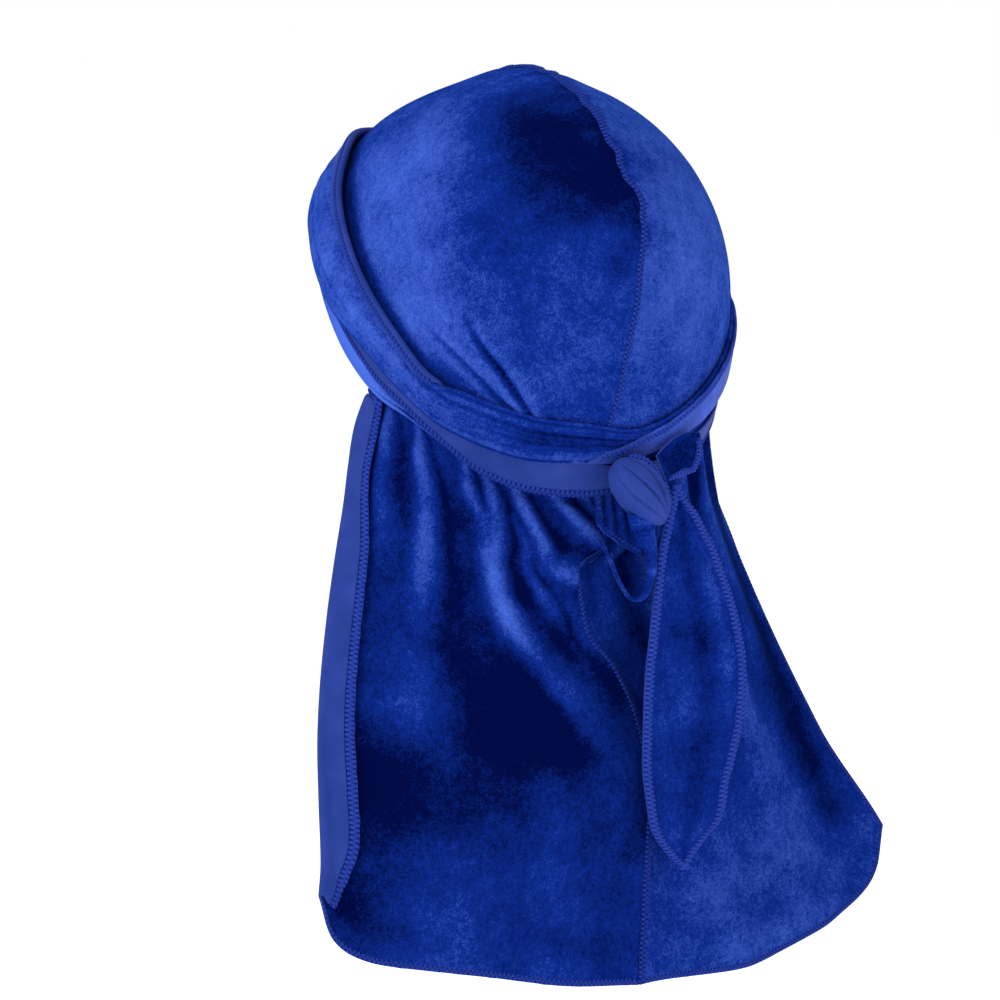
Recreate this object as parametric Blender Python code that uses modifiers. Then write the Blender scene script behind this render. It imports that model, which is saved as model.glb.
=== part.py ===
# A velvet durag in its worn shape: two crown-and-cape panels, two tie wraps, knot and tie ends.
# Metres, +Z up. The forehead faces -Y, the cape hangs at +Y and the wearer's left is +X.
# The origin is the centre of the head space at its widest level.
import math

import bmesh
import bpy
from mathutils import Vector

# Head space under the cloth
HEAD_HALF_WIDTH = 0.0786
HEAD_HALF_LENGTH = 0.0986
CROWN_HEIGHT = 0.0868
NAPE_DROP = 0.115

# Cloth walls and the air between layers
PANEL_WALL = 0.0012
TIE_WALL = 0.0010
LAYER_GAP = 0.00045
SEAM_GAP = 0.0009

# Cape
CAPE_DROP = 0.1915
CAPE_LEFT_WIDTH = 0.129
CAPE_RIGHT_WIDTH = 0.137
CAPE_BACK = 0.099
FOLD_HEIGHT = 0.0055
CAPE_SWELL = 0.0025
CAPE_LEFT_HANG = 1.10
CAPE_RIGHT_HANG = 1.28
EAR_TURN = 6.0
ROLL_WIDTH = 0.016
ROLL_SPACE = 0.0034
SEAM_SWAY = 0.021
SEAM_DRIFT = 9.6

# Seams, edges and ties
SEAM_RADIUS = 0.0016
EDGE_TURN = 0.003
KNOT_HALF = (0.0112, 0.0085, 0.0140)
KNOT_CLEAR = 0.0010
LONG_END_LENGTH = 0.150
LONG_END_WIDTH = 0.050
LONG_END_SEAT = 0.0035
LONG_END_STAND = 0.0060
LONG_END_BOW = 0.0030
SHORT_END_LENGTH = 0.019
SHORT_END_WIDTH = 0.0170
LOOP_HEIGHT = 0.029
LOOP_WIDTH = 0.019
LOOP_DEPTH = 0.010

# Columns and rows of cloth
FRONT_COLUMNS = 11
BACK_COLUMNS = 18
CROWN_ROWS = 10
CAPE_ROWS = 12

# Wrap edges round the head. turn is in degrees, 0 at the wearer's left and 90 at the back.
# Heights are shares of CROWN_HEIGHT. The folds are shares of the upper wrap's own height.
WRAP_COLUMNS = ("turn", "upper_top", "upper_low", "lower_top", "lower_low", "top_fold", "low_fold")
WRAP_ROWS = (
    (-90.0, 0.714, 0.392, 0.415, 0.300, 0.30, 0.12),
    (-60.0, 0.708, 0.369, 0.392, 0.245, 0.30, 0.12),
    (-35.0, 0.680, 0.311, 0.334, 0.161, 0.32, 0.12),
    (-20.0, 0.599, 0.230, 0.253, 0.058, 0.36, 0.12),
    (-10.0, 0.455, 0.092, 0.115, -0.092, 0.36, 0.12),
    (0.0, 0.288, -0.069, -0.046, -0.276, 0.33, 0.12),
    (10.0, 0.104, -0.207, -0.184, -0.438, 0.32, 0.12),
    (20.0, -0.081, -0.380, -0.357, -0.530, 0.30, 0.12),
    (30.0, -0.276, -0.524, -0.501, -0.640, 0.20, 0.15),
    (40.0, -0.369, -0.605, -0.578, -0.760, 0.16, 0.17),
    (50.0, -0.455, -0.662, -0.634, -0.818, 0.17, 0.18),
    (60.0, -0.507, -0.703, -0.670, -0.847, 0.18, 0.18),
    (75.0, -0.530, -0.708, -0.685, -0.864, 0.20, 0.22),
    (90.0, -0.547, -0.692, -0.697, -0.853, 0.24, 0.50),
    (105.0, -0.472, -0.610, -0.657, -0.818, 0.25, 0.62),
    (120.0, -0.334, -0.536, -0.611, -0.760, 0.17, 0.74),
    (135.0, -0.173, -0.449, -0.530, -0.668, 0.13, 0.78),
    (150.0, 0.012, -0.323, -0.403, -0.553, 0.12, 0.72),
    (165.0, 0.207, -0.184, -0.253, -0.415, 0.12, 0.55),
    (180.0, 0.392, -0.046, -0.092, -0.276, 0.14, 0.35),
    (200.0, 0.576, 0.173, 0.138, 0.000, 0.18, 0.18),
    (225.0, 0.680, 0.323, 0.311, 0.184, 0.26, 0.12),
    (250.0, 0.708, 0.380, 0.403, 0.288, 0.30, 0.12),
    (270.0, 0.714, 0.392, 0.415, 0.300, 0.30, 0.12),
)

# Height where the crown ends and the cape begins, as shares of CROWN_HEIGHT, from ear to nape.
SPLIT_COLUMNS = ("turn", "left", "right")
SPLIT_ROWS = (
    (0.0, -0.415, -0.415),
    (10.0, -0.495, -0.470),
    (20.0, -0.576, -0.530),
    (30.0, -0.680, -0.605),
    (40.0, -0.800, -0.690),
    (50.0, -0.858, -0.755),
    (60.0, -0.887, -0.812),
    (75.0, -0.904, -0.864),
    (90.0, -0.899, -0.899),
)

# Hem from the side edge (way 0) to the centre seam (way 1).
# across is a share of the half's own width, back of CAPE_BACK and drop of CAPE_DROP below the nape.
HEM_COLUMNS = ("way", "across", "back", "drop")
HEM_ROWS = (
    (0.00, 1.000, 0.690, 0.772),
    (0.05, 0.971, 0.710, 0.855),
    (0.10, 0.912, 0.745, 0.900),
    (0.20, 0.800, 0.800, 0.932),
    (0.40, 0.590, 0.894, 0.955),
    (0.60, 0.388, 0.950, 0.971),
    (0.80, 0.190, 0.987, 0.987),
    (1.00, 0.000, 1.000, 1.000),
)

# Ridges of the cape: way at the top and at the hem, height as a share of FOLD_HEIGHT, breadth
# in ways, and the share of the height that is left at the hem.
FOLD_COLUMNS = ("way_top", "way_hem", "height", "breadth", "left_at_hem")
LEFT_FOLDS = (
    (0.10, 0.08, 0.70, 0.060, 0.20),
    (0.24, 0.20, 1.00, 0.055, 0.45),
    (0.38, 0.42, 1.10, 0.050, 0.60),
    (0.52, 0.66, 1.00, 0.050, 0.80),
    (0.68, 0.84, 0.90, 0.055, 0.50),
)
RIGHT_FOLDS = (
    (0.14, 0.12, 0.90, 0.070, 0.50),
    (0.34, 0.36, 1.20, 0.070, 0.70),
    (0.55, 0.60, 1.00, 0.060, 0.60),
    (0.74, 0.80, 0.70, 0.055, 0.60),
)

# Sideways sway of the cape's centre seam down the cape, as shares of SEAM_SWAY.
SWAY_COLUMNS = ("down", "sway")
SWAY_ROWS = (
    (0.00, 0.00),
    (0.08, 0.34),
    (0.16, 0.61),
    (0.22, 0.59),
    (0.28, 0.42),
    (0.34, -0.05),
    (0.45, -0.44),
    (0.62, -0.53),
    (0.82, -0.19),
    (1.00, 0.14),
)

# Turn by which the crown's centre seam lies to the left of the middle, as shares of SEAM_DRIFT,
# by height as a share of CROWN_HEIGHT.
DRIFT_COLUMNS = ("height", "drift")
DRIFT_ROWS = (
    (-0.90, 1.00),
    (-0.53, 1.00),
    (-0.42, 0.86),
    (-0.19, 0.69),
    (0.03, 0.42),
    (0.18, 0.33),
    (0.31, 0.24),
    (0.45, 0.29),
    (0.65, 0.41),
    (0.80, 0.28),
    (0.95, 0.42),
    (1.00, 0.42),
)

# Width of the cloth rolled outwards along the left side edge, as shares of ROLL_WIDTH.
ROLL_COLUMNS = ("down", "width")
ROLL_ROWS = (
    (0.00, 0.25),
    (0.06, 0.75),
    (0.18, 1.10),
    (0.42, 1.12),
    (0.70, 1.02),
    (0.83, 1.00),
    (0.89, 0.88),
    (0.94, 0.50),
    (1.00, 0.12),
)

# Long tie end down its length: left and right edges as shares of LONG_END_WIDTH from its
# hanging line.
LONG_END_COLUMNS = ("down", "left", "right")
LONG_END_ROWS = (
    (0.00, 0.01, -0.08),
    (0.04, -0.01, -0.30),
    (0.09, -0.11, -0.42),
    (0.16, -0.05, -0.49),
    (0.26, 0.06, -0.61),
    (0.35, 0.12, -0.69),
    (0.45, 0.14, -0.77),
    (0.54, 0.17, -0.80),
    (0.61, 0.19, -0.77),
    (0.69, 0.20, -0.66),
    (0.82, 0.18, -0.52),
    (0.94, 0.09, -0.28),
    (1.00, -0.11, -0.17),
)

# Path of the tie loop below the knot, as shares of LOOP_WIDTH and LOOP_HEIGHT.
LOOP_COLUMNS = ("along", "across", "drop")
LOOP_ROWS = (
    (0.00, 0.62, 0.02),
    (0.12, 0.80, 0.16),
    (0.25, 0.68, 0.42),
    (0.38, 0.44, 0.74),
    (0.50, 0.14, 0.98),
    (0.62, -0.16, 0.92),
    (0.74, -0.24, 0.64),
    (0.86, -0.14, 0.36),
    (1.00, 0.12, 0.14),
)


def read_row(columns, rows, name, place):
    """Smooth value of one named column at a place along the table's first column."""
    at = columns.index(name)
    last = len(rows) - 1
    if place <= rows[0][0]:
        return rows[0][at]
    if place >= rows[last][0]:
        return rows[last][at]
    step = 0
    while rows[step + 1][0] < place:
        step += 1
    before = rows[max(step - 1, 0)]
    start = rows[step]
    end = rows[step + 1]
    after = rows[min(step + 2, last)]
    span = end[0] - start[0]
    part = (place - start[0]) / span
    slope_start = (end[at] - before[at]) / (end[0] - before[0]) * span
    slope_end = (after[at] - start[at]) / (after[0] - start[0]) * span
    cube = part ** 3
    square = part ** 2
    value = (2.0 * cube - 3.0 * square + 1.0) * start[at]
    value += (cube - 2.0 * square + part) * slope_start
    value += (3.0 * square - 2.0 * cube) * end[at]
    value += (cube - square) * slope_end
    return value


def head_point(turn, height, out):
    """Point on the head space at a turn in degrees and a height, pushed out along its normal."""
    angle = math.radians(turn)
    reach = CROWN_HEIGHT if height >= 0.0 else NAPE_DROP
    ring = math.sqrt(max(0.0, 1.0 - (height / reach) ** 2))
    x = HEAD_HALF_WIDTH * math.cos(angle) * ring
    y = HEAD_HALF_LENGTH * math.sin(angle) * ring
    normal = Vector((x / HEAD_HALF_WIDTH ** 2, y / HEAD_HALF_LENGTH ** 2, height / reach ** 2))
    normal.normalize()
    return Vector((x, y, height)) + normal * out


def crown_point(turn, share, end_height):
    """Point a share of the way from the crown's top to end_height, along one turn."""
    if end_height >= 0.0:
        end = math.acos(end_height / CROWN_HEIGHT)
    else:
        end = math.pi / 2.0 + math.asin(-end_height / NAPE_DROP)
    tilt = end * share
    if tilt <= math.pi / 2.0:
        return head_point(turn, CROWN_HEIGHT * math.cos(tilt), 0.0)
    return head_point(turn, -NAPE_DROP * math.sin(tilt - math.pi / 2.0), 0.0)


def wrap_height(name, turn):
    """Height of a wrap edge at a turn."""
    return read_row(WRAP_COLUMNS, WRAP_ROWS, name, turn) * CROWN_HEIGHT


def nape_height(side, turn):
    """Height where the cape leaves the crown, by side and turn from the ear."""
    name = "left" if side > 0.0 else "right"
    return read_row(SPLIT_COLUMNS, SPLIT_ROWS, name, turn) * CROWN_HEIGHT


def seam_turn(side, turn, height):
    """Turn of a place behind the ear, moved round so that the centre seam follows its drift."""
    way = min(1.0, max(0.0, (turn - EAR_TURN) / (90.0 - EAR_TURN)))
    drift = SEAM_DRIFT * read_row(DRIFT_COLUMNS, DRIFT_ROWS, "drift", height / CROWN_HEIGHT)
    return turn - side * drift * way ** 2.5


def rim_height(side, turn):
    """Lower end of a crown column: the front rim before the ear, the nape line behind it."""
    if turn >= EAR_TURN:
        return nape_height(side, turn)
    round_turn = turn if side > 0.0 else 180.0 - turn
    rim = wrap_height("lower_low", round_turn) - 0.0015
    blend = max(0.0, 1.0 + (turn - EAR_TURN) / 12.0)
    return rim * (1.0 - blend) + nape_height(side, EAR_TURN) * blend


def cape_point(side, way, down):
    """Point on the cape's inner face. way is 0 at the side edge and 1 at the seam."""
    way = min(1.0, max(0.0, way))
    turn = EAR_TURN + (90.0 - EAR_TURN) * way
    height = nape_height(side, turn)
    top = head_point(turn, height, 0.0)
    nape = nape_height(side, 90.0)
    width = CAPE_LEFT_WIDTH if side > 0.0 else CAPE_RIGHT_WIDTH
    across = width * read_row(HEM_COLUMNS, HEM_ROWS, "across", way)
    back = CAPE_BACK * read_row(HEM_COLUMNS, HEM_ROWS, "back", way)
    low = nape - CAPE_DROP * read_row(HEM_COLUMNS, HEM_ROWS, "drop", way)
    spread = down ** (CAPE_LEFT_HANG if side > 0.0 else CAPE_RIGHT_HANG)
    point = top.lerp(Vector((across, back, low)), spread)
    point.z = top.z + (low - top.z) * down
    point += (head_point(seam_turn(side, turn, height), height, 0.0) - top) * (1.0 - down)
    leave = 1.0 - math.exp(-down / 0.06)
    point += cape_outward(way) * CAPE_SWELL * leave * (1.0 - down)
    point += cape_outward(way) * cape_fold(side, way, down)
    point.x *= side
    sway = SEAM_SWAY * read_row(SWAY_COLUMNS, SWAY_ROWS, "sway", down)
    point.x += sway * way ** 2.5
    point.x += side * SEAM_GAP / 2.0 * way
    return point


def cape_outward(way):
    """Level direction straight out of the left cape."""
    turn = math.radians(25.0 + 65.0 * way)
    return Vector((math.cos(turn), math.sin(turn), 0.0))


def cape_fold(side, way, down):
    """Height of the folds above the cape's smooth surface."""
    folds = LEFT_FOLDS if side > 0.0 else RIGHT_FOLDS
    total = 0.0
    for way_top, way_hem, height, breadth, left_at_hem in folds:
        middle = way_top + (way_hem - way_top) * down ** 0.7
        breadth_here = breadth * (0.65 + 0.75 * down)
        ridge = math.exp(-((way - middle) / breadth_here) ** 2)
        rise = 1.0 - math.exp(-down / 0.05)
        total += FOLD_HEIGHT * height * ridge * rise * (1.0 - (1.0 - left_at_hem) * down)
    near = min(1.0, max(0.0, (1.0 - way) / 0.24))
    edge = near * near * (3.0 - 2.0 * near)
    level = 0.3 * FOLD_HEIGHT * (1.0 - math.exp(-down / 0.05))
    return (total - level) * edge


def new_object(name, mesh, colour, roughness):
    """Object with its own cloth material, linked to the durag's collection."""
    material = bpy.data.materials.new(name + "_cloth")
    material.use_nodes = True
    shader = material.node_tree.nodes["Principled BSDF"]
    shader.inputs["Base Color"].default_value = (colour[0], colour[1], colour[2], 1.0)
    shader.inputs["Roughness"].default_value = roughness
    shader.inputs["Metallic"].default_value = 0.0
    mesh.materials.append(material)
    item = bpy.data.objects.new(name, mesh)
    durag.objects.link(item)
    return item


def add_wall(item, wall):
    """Cloth thickness laid on the outside of an open surface."""
    solid = item.modifiers.new("wall", "SOLIDIFY")
    solid.thickness = wall
    solid.offset = 1.0
    solid.use_even_offset = True
    solid.thickness_clamp = 0.0


def grid_into(bm, columns, rows, place):
    """Grid of columns by rows whose corners are put in place by their shares across and down."""
    made = bmesh.ops.create_grid(bm, x_segments=columns, y_segments=rows, size=0.5)
    for vert in made["verts"]:
        across = min(1.0, max(0.0, vert.co.x + 0.5))
        down = min(1.0, max(0.0, 0.5 - vert.co.y))
        vert.co = place(across, down)


def finish_sheet(bm, name, colour, roughness, wall):
    """Weld the grids of a sheet and give it its wall."""
    bmesh.ops.remove_doubles(bm, verts=bm.verts, dist=0.000002)
    mesh = bpy.data.meshes.new(name)
    bm.to_mesh(mesh)
    bm.free()
    item = new_object(name, mesh, colour, roughness)
    add_wall(item, wall)
    return item


def build_panel(name, side):
    """Half of the crown with its half of the cape, one cloth from forehead to hem."""
    columns = FRONT_COLUMNS + BACK_COLUMNS

    half_gap = SEAM_GAP / 2.0

    def crown_place(across, down):
        turn = half_turn(across * columns)
        point = crown_point(turn, down, rim_height(side, turn))
        inner = half_gap
        if turn > 0.0:
            point = head_point(seam_turn(side, turn, point.z), point.z, 0.0)
            inner += side * head_point(seam_turn(1.0, 90.0, point.z), point.z, 0.0).x
        if abs(turn) > 89.9 or point.x < inner:
            point.x = inner
        point.x *= side
        if turn > EAR_TURN - 0.001:
            joined = cape_point(side, (turn - EAR_TURN) / (90.0 - EAR_TURN), 0.0)
            point.x += (joined.x - point.x) * down ** 8
        return point

    def cape_place(across, down):
        return cape_point(side, across, down ** 1.15)

    bm = bmesh.new()
    grid_into(bm, columns, CROWN_ROWS, crown_place)
    grid_into(bm, BACK_COLUMNS, CAPE_ROWS, cape_place)
    if side > 0.0:
        grid_into(bm, 3, CAPE_ROWS, roll_place)
    if side < 0.0:
        bmesh.ops.reverse_faces(bm, faces=bm.faces)
    return finish_sheet(bm, name, (0.010, 0.035, 0.42), 0.75, PANEL_WALL)


def roll_place(across, down):
    """Cloth rolled outwards and back over the left side edge of the cape."""
    reach = down ** 1.15
    edge = cape_point(1.0, 0.0, reach)
    inner = cape_point(1.0, 1.0 / BACK_COLUMNS, reach)
    inwards = inner - edge
    inwards.normalize()
    out = cape_outward(0.0)
    out = out - inwards * out.dot(inwards)
    out.normalize()
    width = ROLL_WIDTH * read_row(ROLL_COLUMNS, ROLL_ROWS, "width", reach)
    step = round((1.0 - across) * 3.0)
    if step == 0:
        return edge
    if step == 1:
        return edge + out * ROLL_SPACE
    if step == 2:
        return edge + out * ROLL_SPACE + inwards * width * 0.5
    return edge + out * (ROLL_SPACE + 0.0006) + inwards * width


def half_turn(column):
    """Turn of a column of one half, from -90 at the forehead to 90 at the nape."""
    if column < FRONT_COLUMNS:
        return -90.0 + (90.0 + EAR_TURN) * column / FRONT_COLUMNS
    return EAR_TURN + (90.0 - EAR_TURN) * (column - FRONT_COLUMNS) / BACK_COLUMNS


def ring_turn(across):
    """Turn at a share of the way round, with the panels' own column spacing."""
    half = FRONT_COLUMNS + BACK_COLUMNS
    column = across * 2.0 * half
    if column <= half:
        return half_turn(column)
    return 180.0 - half_turn(2.0 * half - column)


def build_upper_wrap():
    """Wide tie round the head with its edges turned over outwards."""
    rise = 2.0 * TIE_WALL + LAYER_GAP + 0.0002
    seat_top = PANEL_WALL + LAYER_GAP
    seat_low = PANEL_WALL + TIE_WALL + 2.6 * LAYER_GAP

    def place(across, down):
        turn = ring_turn(across)
        top = wrap_height("upper_top", turn)
        low = wrap_height("upper_low", turn)
        tall = top - low
        top_fold = max(EDGE_TURN, tall * read_row(WRAP_COLUMNS, WRAP_ROWS, "top_fold", turn))
        low_fold = max(EDGE_TURN, tall * read_row(WRAP_COLUMNS, WRAP_ROWS, "low_fold", turn))
        low_fold = min(low_fold, tall - top_fold - 0.0012)
        step = round(down * 8.0)
        if step == 0:
            return head_point(turn, top - top_fold, seat_top + rise + 0.0004)
        if step == 1:
            return head_point(turn, top, seat_top + rise)
        if step == 7:
            return head_point(turn, low, seat_low + rise)
        if step == 8:
            return head_point(turn, low + low_fold, seat_low + rise + 0.0004)
        part = (step - 2.0) / 4.0
        out = seat_top + (seat_low - seat_top) * part
        return head_point(turn, top - tall * part, out)

    bm = bmesh.new()
    grid_into(bm, 2 * (FRONT_COLUMNS + BACK_COLUMNS), 8, place)
    return finish_sheet(bm, "upper_wrap", (0.012, 0.045, 0.48), 0.65, TIE_WALL)


def build_lower_wrap():
    """Narrow tie round the head, reverse side out, with its lower edge turned over."""
    rise = 2.0 * TIE_WALL + LAYER_GAP
    seat = PANEL_WALL + LAYER_GAP

    def place(across, down):
        turn = ring_turn(across)
        top = wrap_height("lower_top", turn)
        low = wrap_height("lower_low", turn)
        step = round(down * 5.0)
        if step == 4:
            return head_point(turn, low, seat + rise)
        if step == 5:
            return head_point(turn, low + EDGE_TURN, seat + rise + 0.0003)
        part = step / 3.0
        return head_point(turn, top + (low - top) * part, seat)

    bm = bmesh.new()
    grid_into(bm, 2 * (FRONT_COLUMNS + BACK_COLUMNS), 5, place)
    return finish_sheet(bm, "lower_wrap", (0.035, 0.075, 0.40), 0.6, TIE_WALL)


def build_seam(name, points):
    """Raised overlocked ridge along a line of points."""
    line = bpy.data.curves.new(name, "CURVE")
    line.dimensions = "3D"
    line.bevel_depth = SEAM_RADIUS
    line.bevel_resolution = 1
    line.use_fill_caps = True
    spline = line.splines.new("POLY")
    spline.points.add(len(points) - 1)
    for index, point in enumerate(points):
        spline.points[index].co = (point.x, point.y, point.z, 1.0)
    return new_object(name, line, (0.030, 0.055, 0.45), 0.7)


def crown_seam_points():
    """Line over the crown from above the forehead wrap to above the nape wrap."""
    clear = 0.0035
    front = wrap_height("upper_top", -90.0) + clear
    back = wrap_height("upper_top", 90.0) + clear
    start = -math.acos(front / CROWN_HEIGHT)
    end = math.pi / 2.0 + math.asin(-back / NAPE_DROP)
    out = PANEL_WALL + LAYER_GAP + SEAM_RADIUS
    points = []
    for step in range(37):
        tilt = start + (end - start) * step / 36.0
        turn = -90.0 if tilt < 0.0 else 90.0
        tilt = abs(tilt)
        if tilt <= math.pi / 2.0:
            height = CROWN_HEIGHT * math.cos(tilt)
        else:
            height = -NAPE_DROP * math.sin(tilt - math.pi / 2.0)
        point = head_point(turn, height, out)
        point.x = 0.0
        if turn > 0.0:
            point = head_point(seam_turn(1.0, turn, height), height, out)
        points.append(point)
    return points


def seam_middle(down):
    """Middle between the two panels' inner edges, a share of the way down the cape."""
    return (cape_point(1.0, 1.0, down) + cape_point(-1.0, 1.0, down)) / 2.0


def cape_seam_points():
    """Line down the cape's centre from below the lower wrap to the hem."""
    points = []
    for step in range(28):
        down = 0.045 + (0.997 - 0.045) * step / 27.0
        slope = seam_middle(down + 0.003) - seam_middle(down - 0.003)
        outward = Vector((0.0, -slope.z, slope.y))
        outward.normalize()
        out = PANEL_WALL + 2.6 * LAYER_GAP + SEAM_RADIUS
        points.append(seam_middle(down) + outward * out)
    return points


def knot_centre():
    """Middle of the knot, standing off the lower wrap at the nape."""
    height = (wrap_height("upper_low", 93.0) + wrap_height("lower_low", 93.0)) / 2.0
    out = PANEL_WALL + 3.0 * TIE_WALL + 4.6 * LAYER_GAP + KNOT_CLEAR + KNOT_HALF[1]
    return head_point(90.6, height, out)


def build_knot():
    """Rounded wrap of cloth, creased along the way the tie runs over it."""
    mesh = bpy.data.meshes.new("knot")
    bm = bmesh.new()
    bmesh.ops.create_uvsphere(bm, u_segments=20, v_segments=12, radius=1.0)
    lean = math.radians(24.0)
    centre = knot_centre()
    for vert in bm.verts:
        round_angle = math.atan2(vert.co.y, vert.co.x)
        crease = 1.0 - 0.07 * math.cos(5.0 * round_angle) * (1.0 - vert.co.z ** 2)
        x = vert.co.x * KNOT_HALF[0] * crease
        y = vert.co.y * KNOT_HALF[1] * min(crease, 1.0)
        z = vert.co.z * KNOT_HALF[2]
        turned_x = x * math.cos(lean) + z * math.sin(lean) * -1.0
        turned_z = x * math.sin(lean) + z * math.cos(lean)
        vert.co = centre + Vector((-turned_x * -1.0, y, turned_z))
    bm.to_mesh(mesh)
    bm.free()
    return new_object("knot", mesh, (0.030, 0.070, 0.42), 0.55)


def seam_back(height):
    """Back face of the cape at its centre seam, at a height."""
    down = (nape_height(-1.0, 90.0) - height) / CAPE_DROP
    down = min(1.0, max(0.0, down))
    return cape_point(-1.0, 1.0, down).y + PANEL_WALL


def build_long_end():
    """Tie end hanging from the knot over the cape, widening and then cut to a point."""
    knot = knot_centre()
    line_x = knot.x - KNOT_HALF[0] - 0.0004
    line_z = knot.z + 0.0015
    knot_stand = knot.y - LONG_END_SEAT - seam_back(line_z)

    def place(across, down):
        left = read_row(LONG_END_COLUMNS, LONG_END_ROWS, "left", down) * LONG_END_WIDTH
        right = read_row(LONG_END_COLUMNS, LONG_END_ROWS, "right", down) * LONG_END_WIDTH
        x = line_x + left + (right - left) * across
        z = line_z - LONG_END_LENGTH * down
        stand = knot_stand * (1.0 - down) ** 1.3 + LONG_END_STAND * down
        bow = LONG_END_BOW * math.sin(math.pi * across) * math.sin(math.pi * min(1.0, down * 1.1))
        return Vector((x, seam_back(z) + stand - bow, z))

    bm = bmesh.new()
    grid_into(bm, 6, 14, place)
    return finish_sheet(bm, "long_tie_end", (0.010, 0.035, 0.40), 0.75, TIE_WALL)


def build_short_end():
    """Short tie end standing out beside the knot, doubled over."""
    knot = knot_centre()

    def place(across, down):
        layer = round(across * 5.0)
        part = layer / 2.0 if layer < 3 else (5.0 - layer) / 2.0
        x = knot.x - KNOT_HALF[0] - 0.0008 - SHORT_END_LENGTH * part
        z = knot.z + 0.0195 + 0.35 * SHORT_END_LENGTH * part - SHORT_END_WIDTH * down
        y = knot.y + 0.001 + 0.0012 * math.sin(math.pi * down) - 0.20 * SHORT_END_LENGTH * part
        if layer >= 3:
            y += 2.0 * TIE_WALL + 0.0006
        return Vector((x, y, z))

    bm = bmesh.new()
    grid_into(bm, 5, 4, place)
    return finish_sheet(bm, "short_tie_end", (0.012, 0.040, 0.42), 0.7, TIE_WALL)


def build_loop():
    """Bunched loop of tie below the knot, open front and back."""
    knot = knot_centre()
    top = knot.z - KNOT_HALF[2] * 0.70

    def place(across, down):
        near = 1.0 - 0.35 * down
        side_way = 0.25 + (read_row(LOOP_COLUMNS, LOOP_ROWS, "across", across) - 0.25) * near
        drop = 0.15 + (read_row(LOOP_COLUMNS, LOOP_ROWS, "drop", across) - 0.15) * near
        x = knot.x + side_way * LOOP_WIDTH
        y = knot.y - 0.0035 + LOOP_DEPTH * down
        return Vector((x, y, top - drop * LOOP_HEIGHT))

    bm = bmesh.new()
    grid_into(bm, 20, 3, place)
    return finish_sheet(bm, "tie_loop", (0.010, 0.035, 0.40), 0.75, TIE_WALL)


for old in list(bpy.data.objects):
    bpy.data.objects.remove(old, do_unlink=True)

durag = bpy.data.collections.new("durag")
bpy.context.scene.collection.children.link(durag)

panel_left = build_panel("panel_left", 1.0)
panel_right = build_panel("panel_right", -1.0)
crown_seam = build_seam("crown_seam", crown_seam_points())
cape_seam = build_seam("cape_seam", cape_seam_points())
upper_wrap = build_upper_wrap()
lower_wrap = build_lower_wrap()
knot = build_knot()
long_tie_end = build_long_end()
short_tie_end = build_short_end()
tie_loop = build_loop()
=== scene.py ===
"""A blue velvet durag in its worn shape, tied at the nape, seen from behind and to the left.

Metres, +Z up. The forehead faces -Y, the cape hangs at +Y and the wearer's left is +X. Every cloth
is a surface worked out as a function of two parameters, laid on the same head form as the CAD.
"""
import math

import bmesh
import bpy
import numpy as np
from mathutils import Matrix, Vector


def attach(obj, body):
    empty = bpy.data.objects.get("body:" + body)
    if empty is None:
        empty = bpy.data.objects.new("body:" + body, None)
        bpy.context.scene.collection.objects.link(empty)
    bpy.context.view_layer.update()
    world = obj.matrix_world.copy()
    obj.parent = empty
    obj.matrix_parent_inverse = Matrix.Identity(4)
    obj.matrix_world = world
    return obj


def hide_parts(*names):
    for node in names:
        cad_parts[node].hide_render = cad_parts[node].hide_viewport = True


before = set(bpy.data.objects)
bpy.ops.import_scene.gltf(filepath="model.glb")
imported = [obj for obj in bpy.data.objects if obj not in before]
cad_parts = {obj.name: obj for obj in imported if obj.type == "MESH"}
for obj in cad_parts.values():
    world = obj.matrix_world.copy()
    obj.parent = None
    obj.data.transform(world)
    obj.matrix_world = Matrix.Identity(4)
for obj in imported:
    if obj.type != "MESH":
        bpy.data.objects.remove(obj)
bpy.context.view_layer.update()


# Camera, floor and light
# The photograph is taken from behind and to the left, a little above the crown's widest level.
# The durag keeps its worn shape without support, so the floor lies below the hem.
camera_turn = math.radians(150.0)
camera_rise = math.radians(4.0)
camera_away = 1.5
pixels_per_slope = 3645.0
head_centre_in_picture = (520.0, 290.0)
camera_back = Vector((math.sin(camera_turn) * math.cos(camera_rise),
                      -math.cos(camera_turn) * math.cos(camera_rise),
                      math.sin(camera_rise)))
camera_right = (-camera_back).cross(Vector((0.0, 0.0, 1.0))).normalized()
camera_up = camera_right.cross(-camera_back)
pan_right = (head_centre_in_picture[0] - 500.0) / pixels_per_slope
pan_up = (500.0 - head_centre_in_picture[1]) / pixels_per_slope
camera_aim = (-camera_back - camera_right * pan_right - camera_up * pan_up).normalized()
camera_data = bpy.data.cameras.new("camera")
camera_data.sensor_width = 36.0
camera_data.lens = pixels_per_slope * 36.0 / 1000.0
camera_data.clip_start = 0.05
camera_data.clip_end = 60.0
camera = bpy.data.objects.new("camera", camera_data)
camera.location = camera_back * camera_away
camera.rotation_mode = "QUATERNION"
camera.rotation_quaternion = camera_aim.to_track_quat("-Z", "Y")
bpy.context.scene.collection.objects.link(camera)
bpy.context.scene.camera = camera

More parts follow.
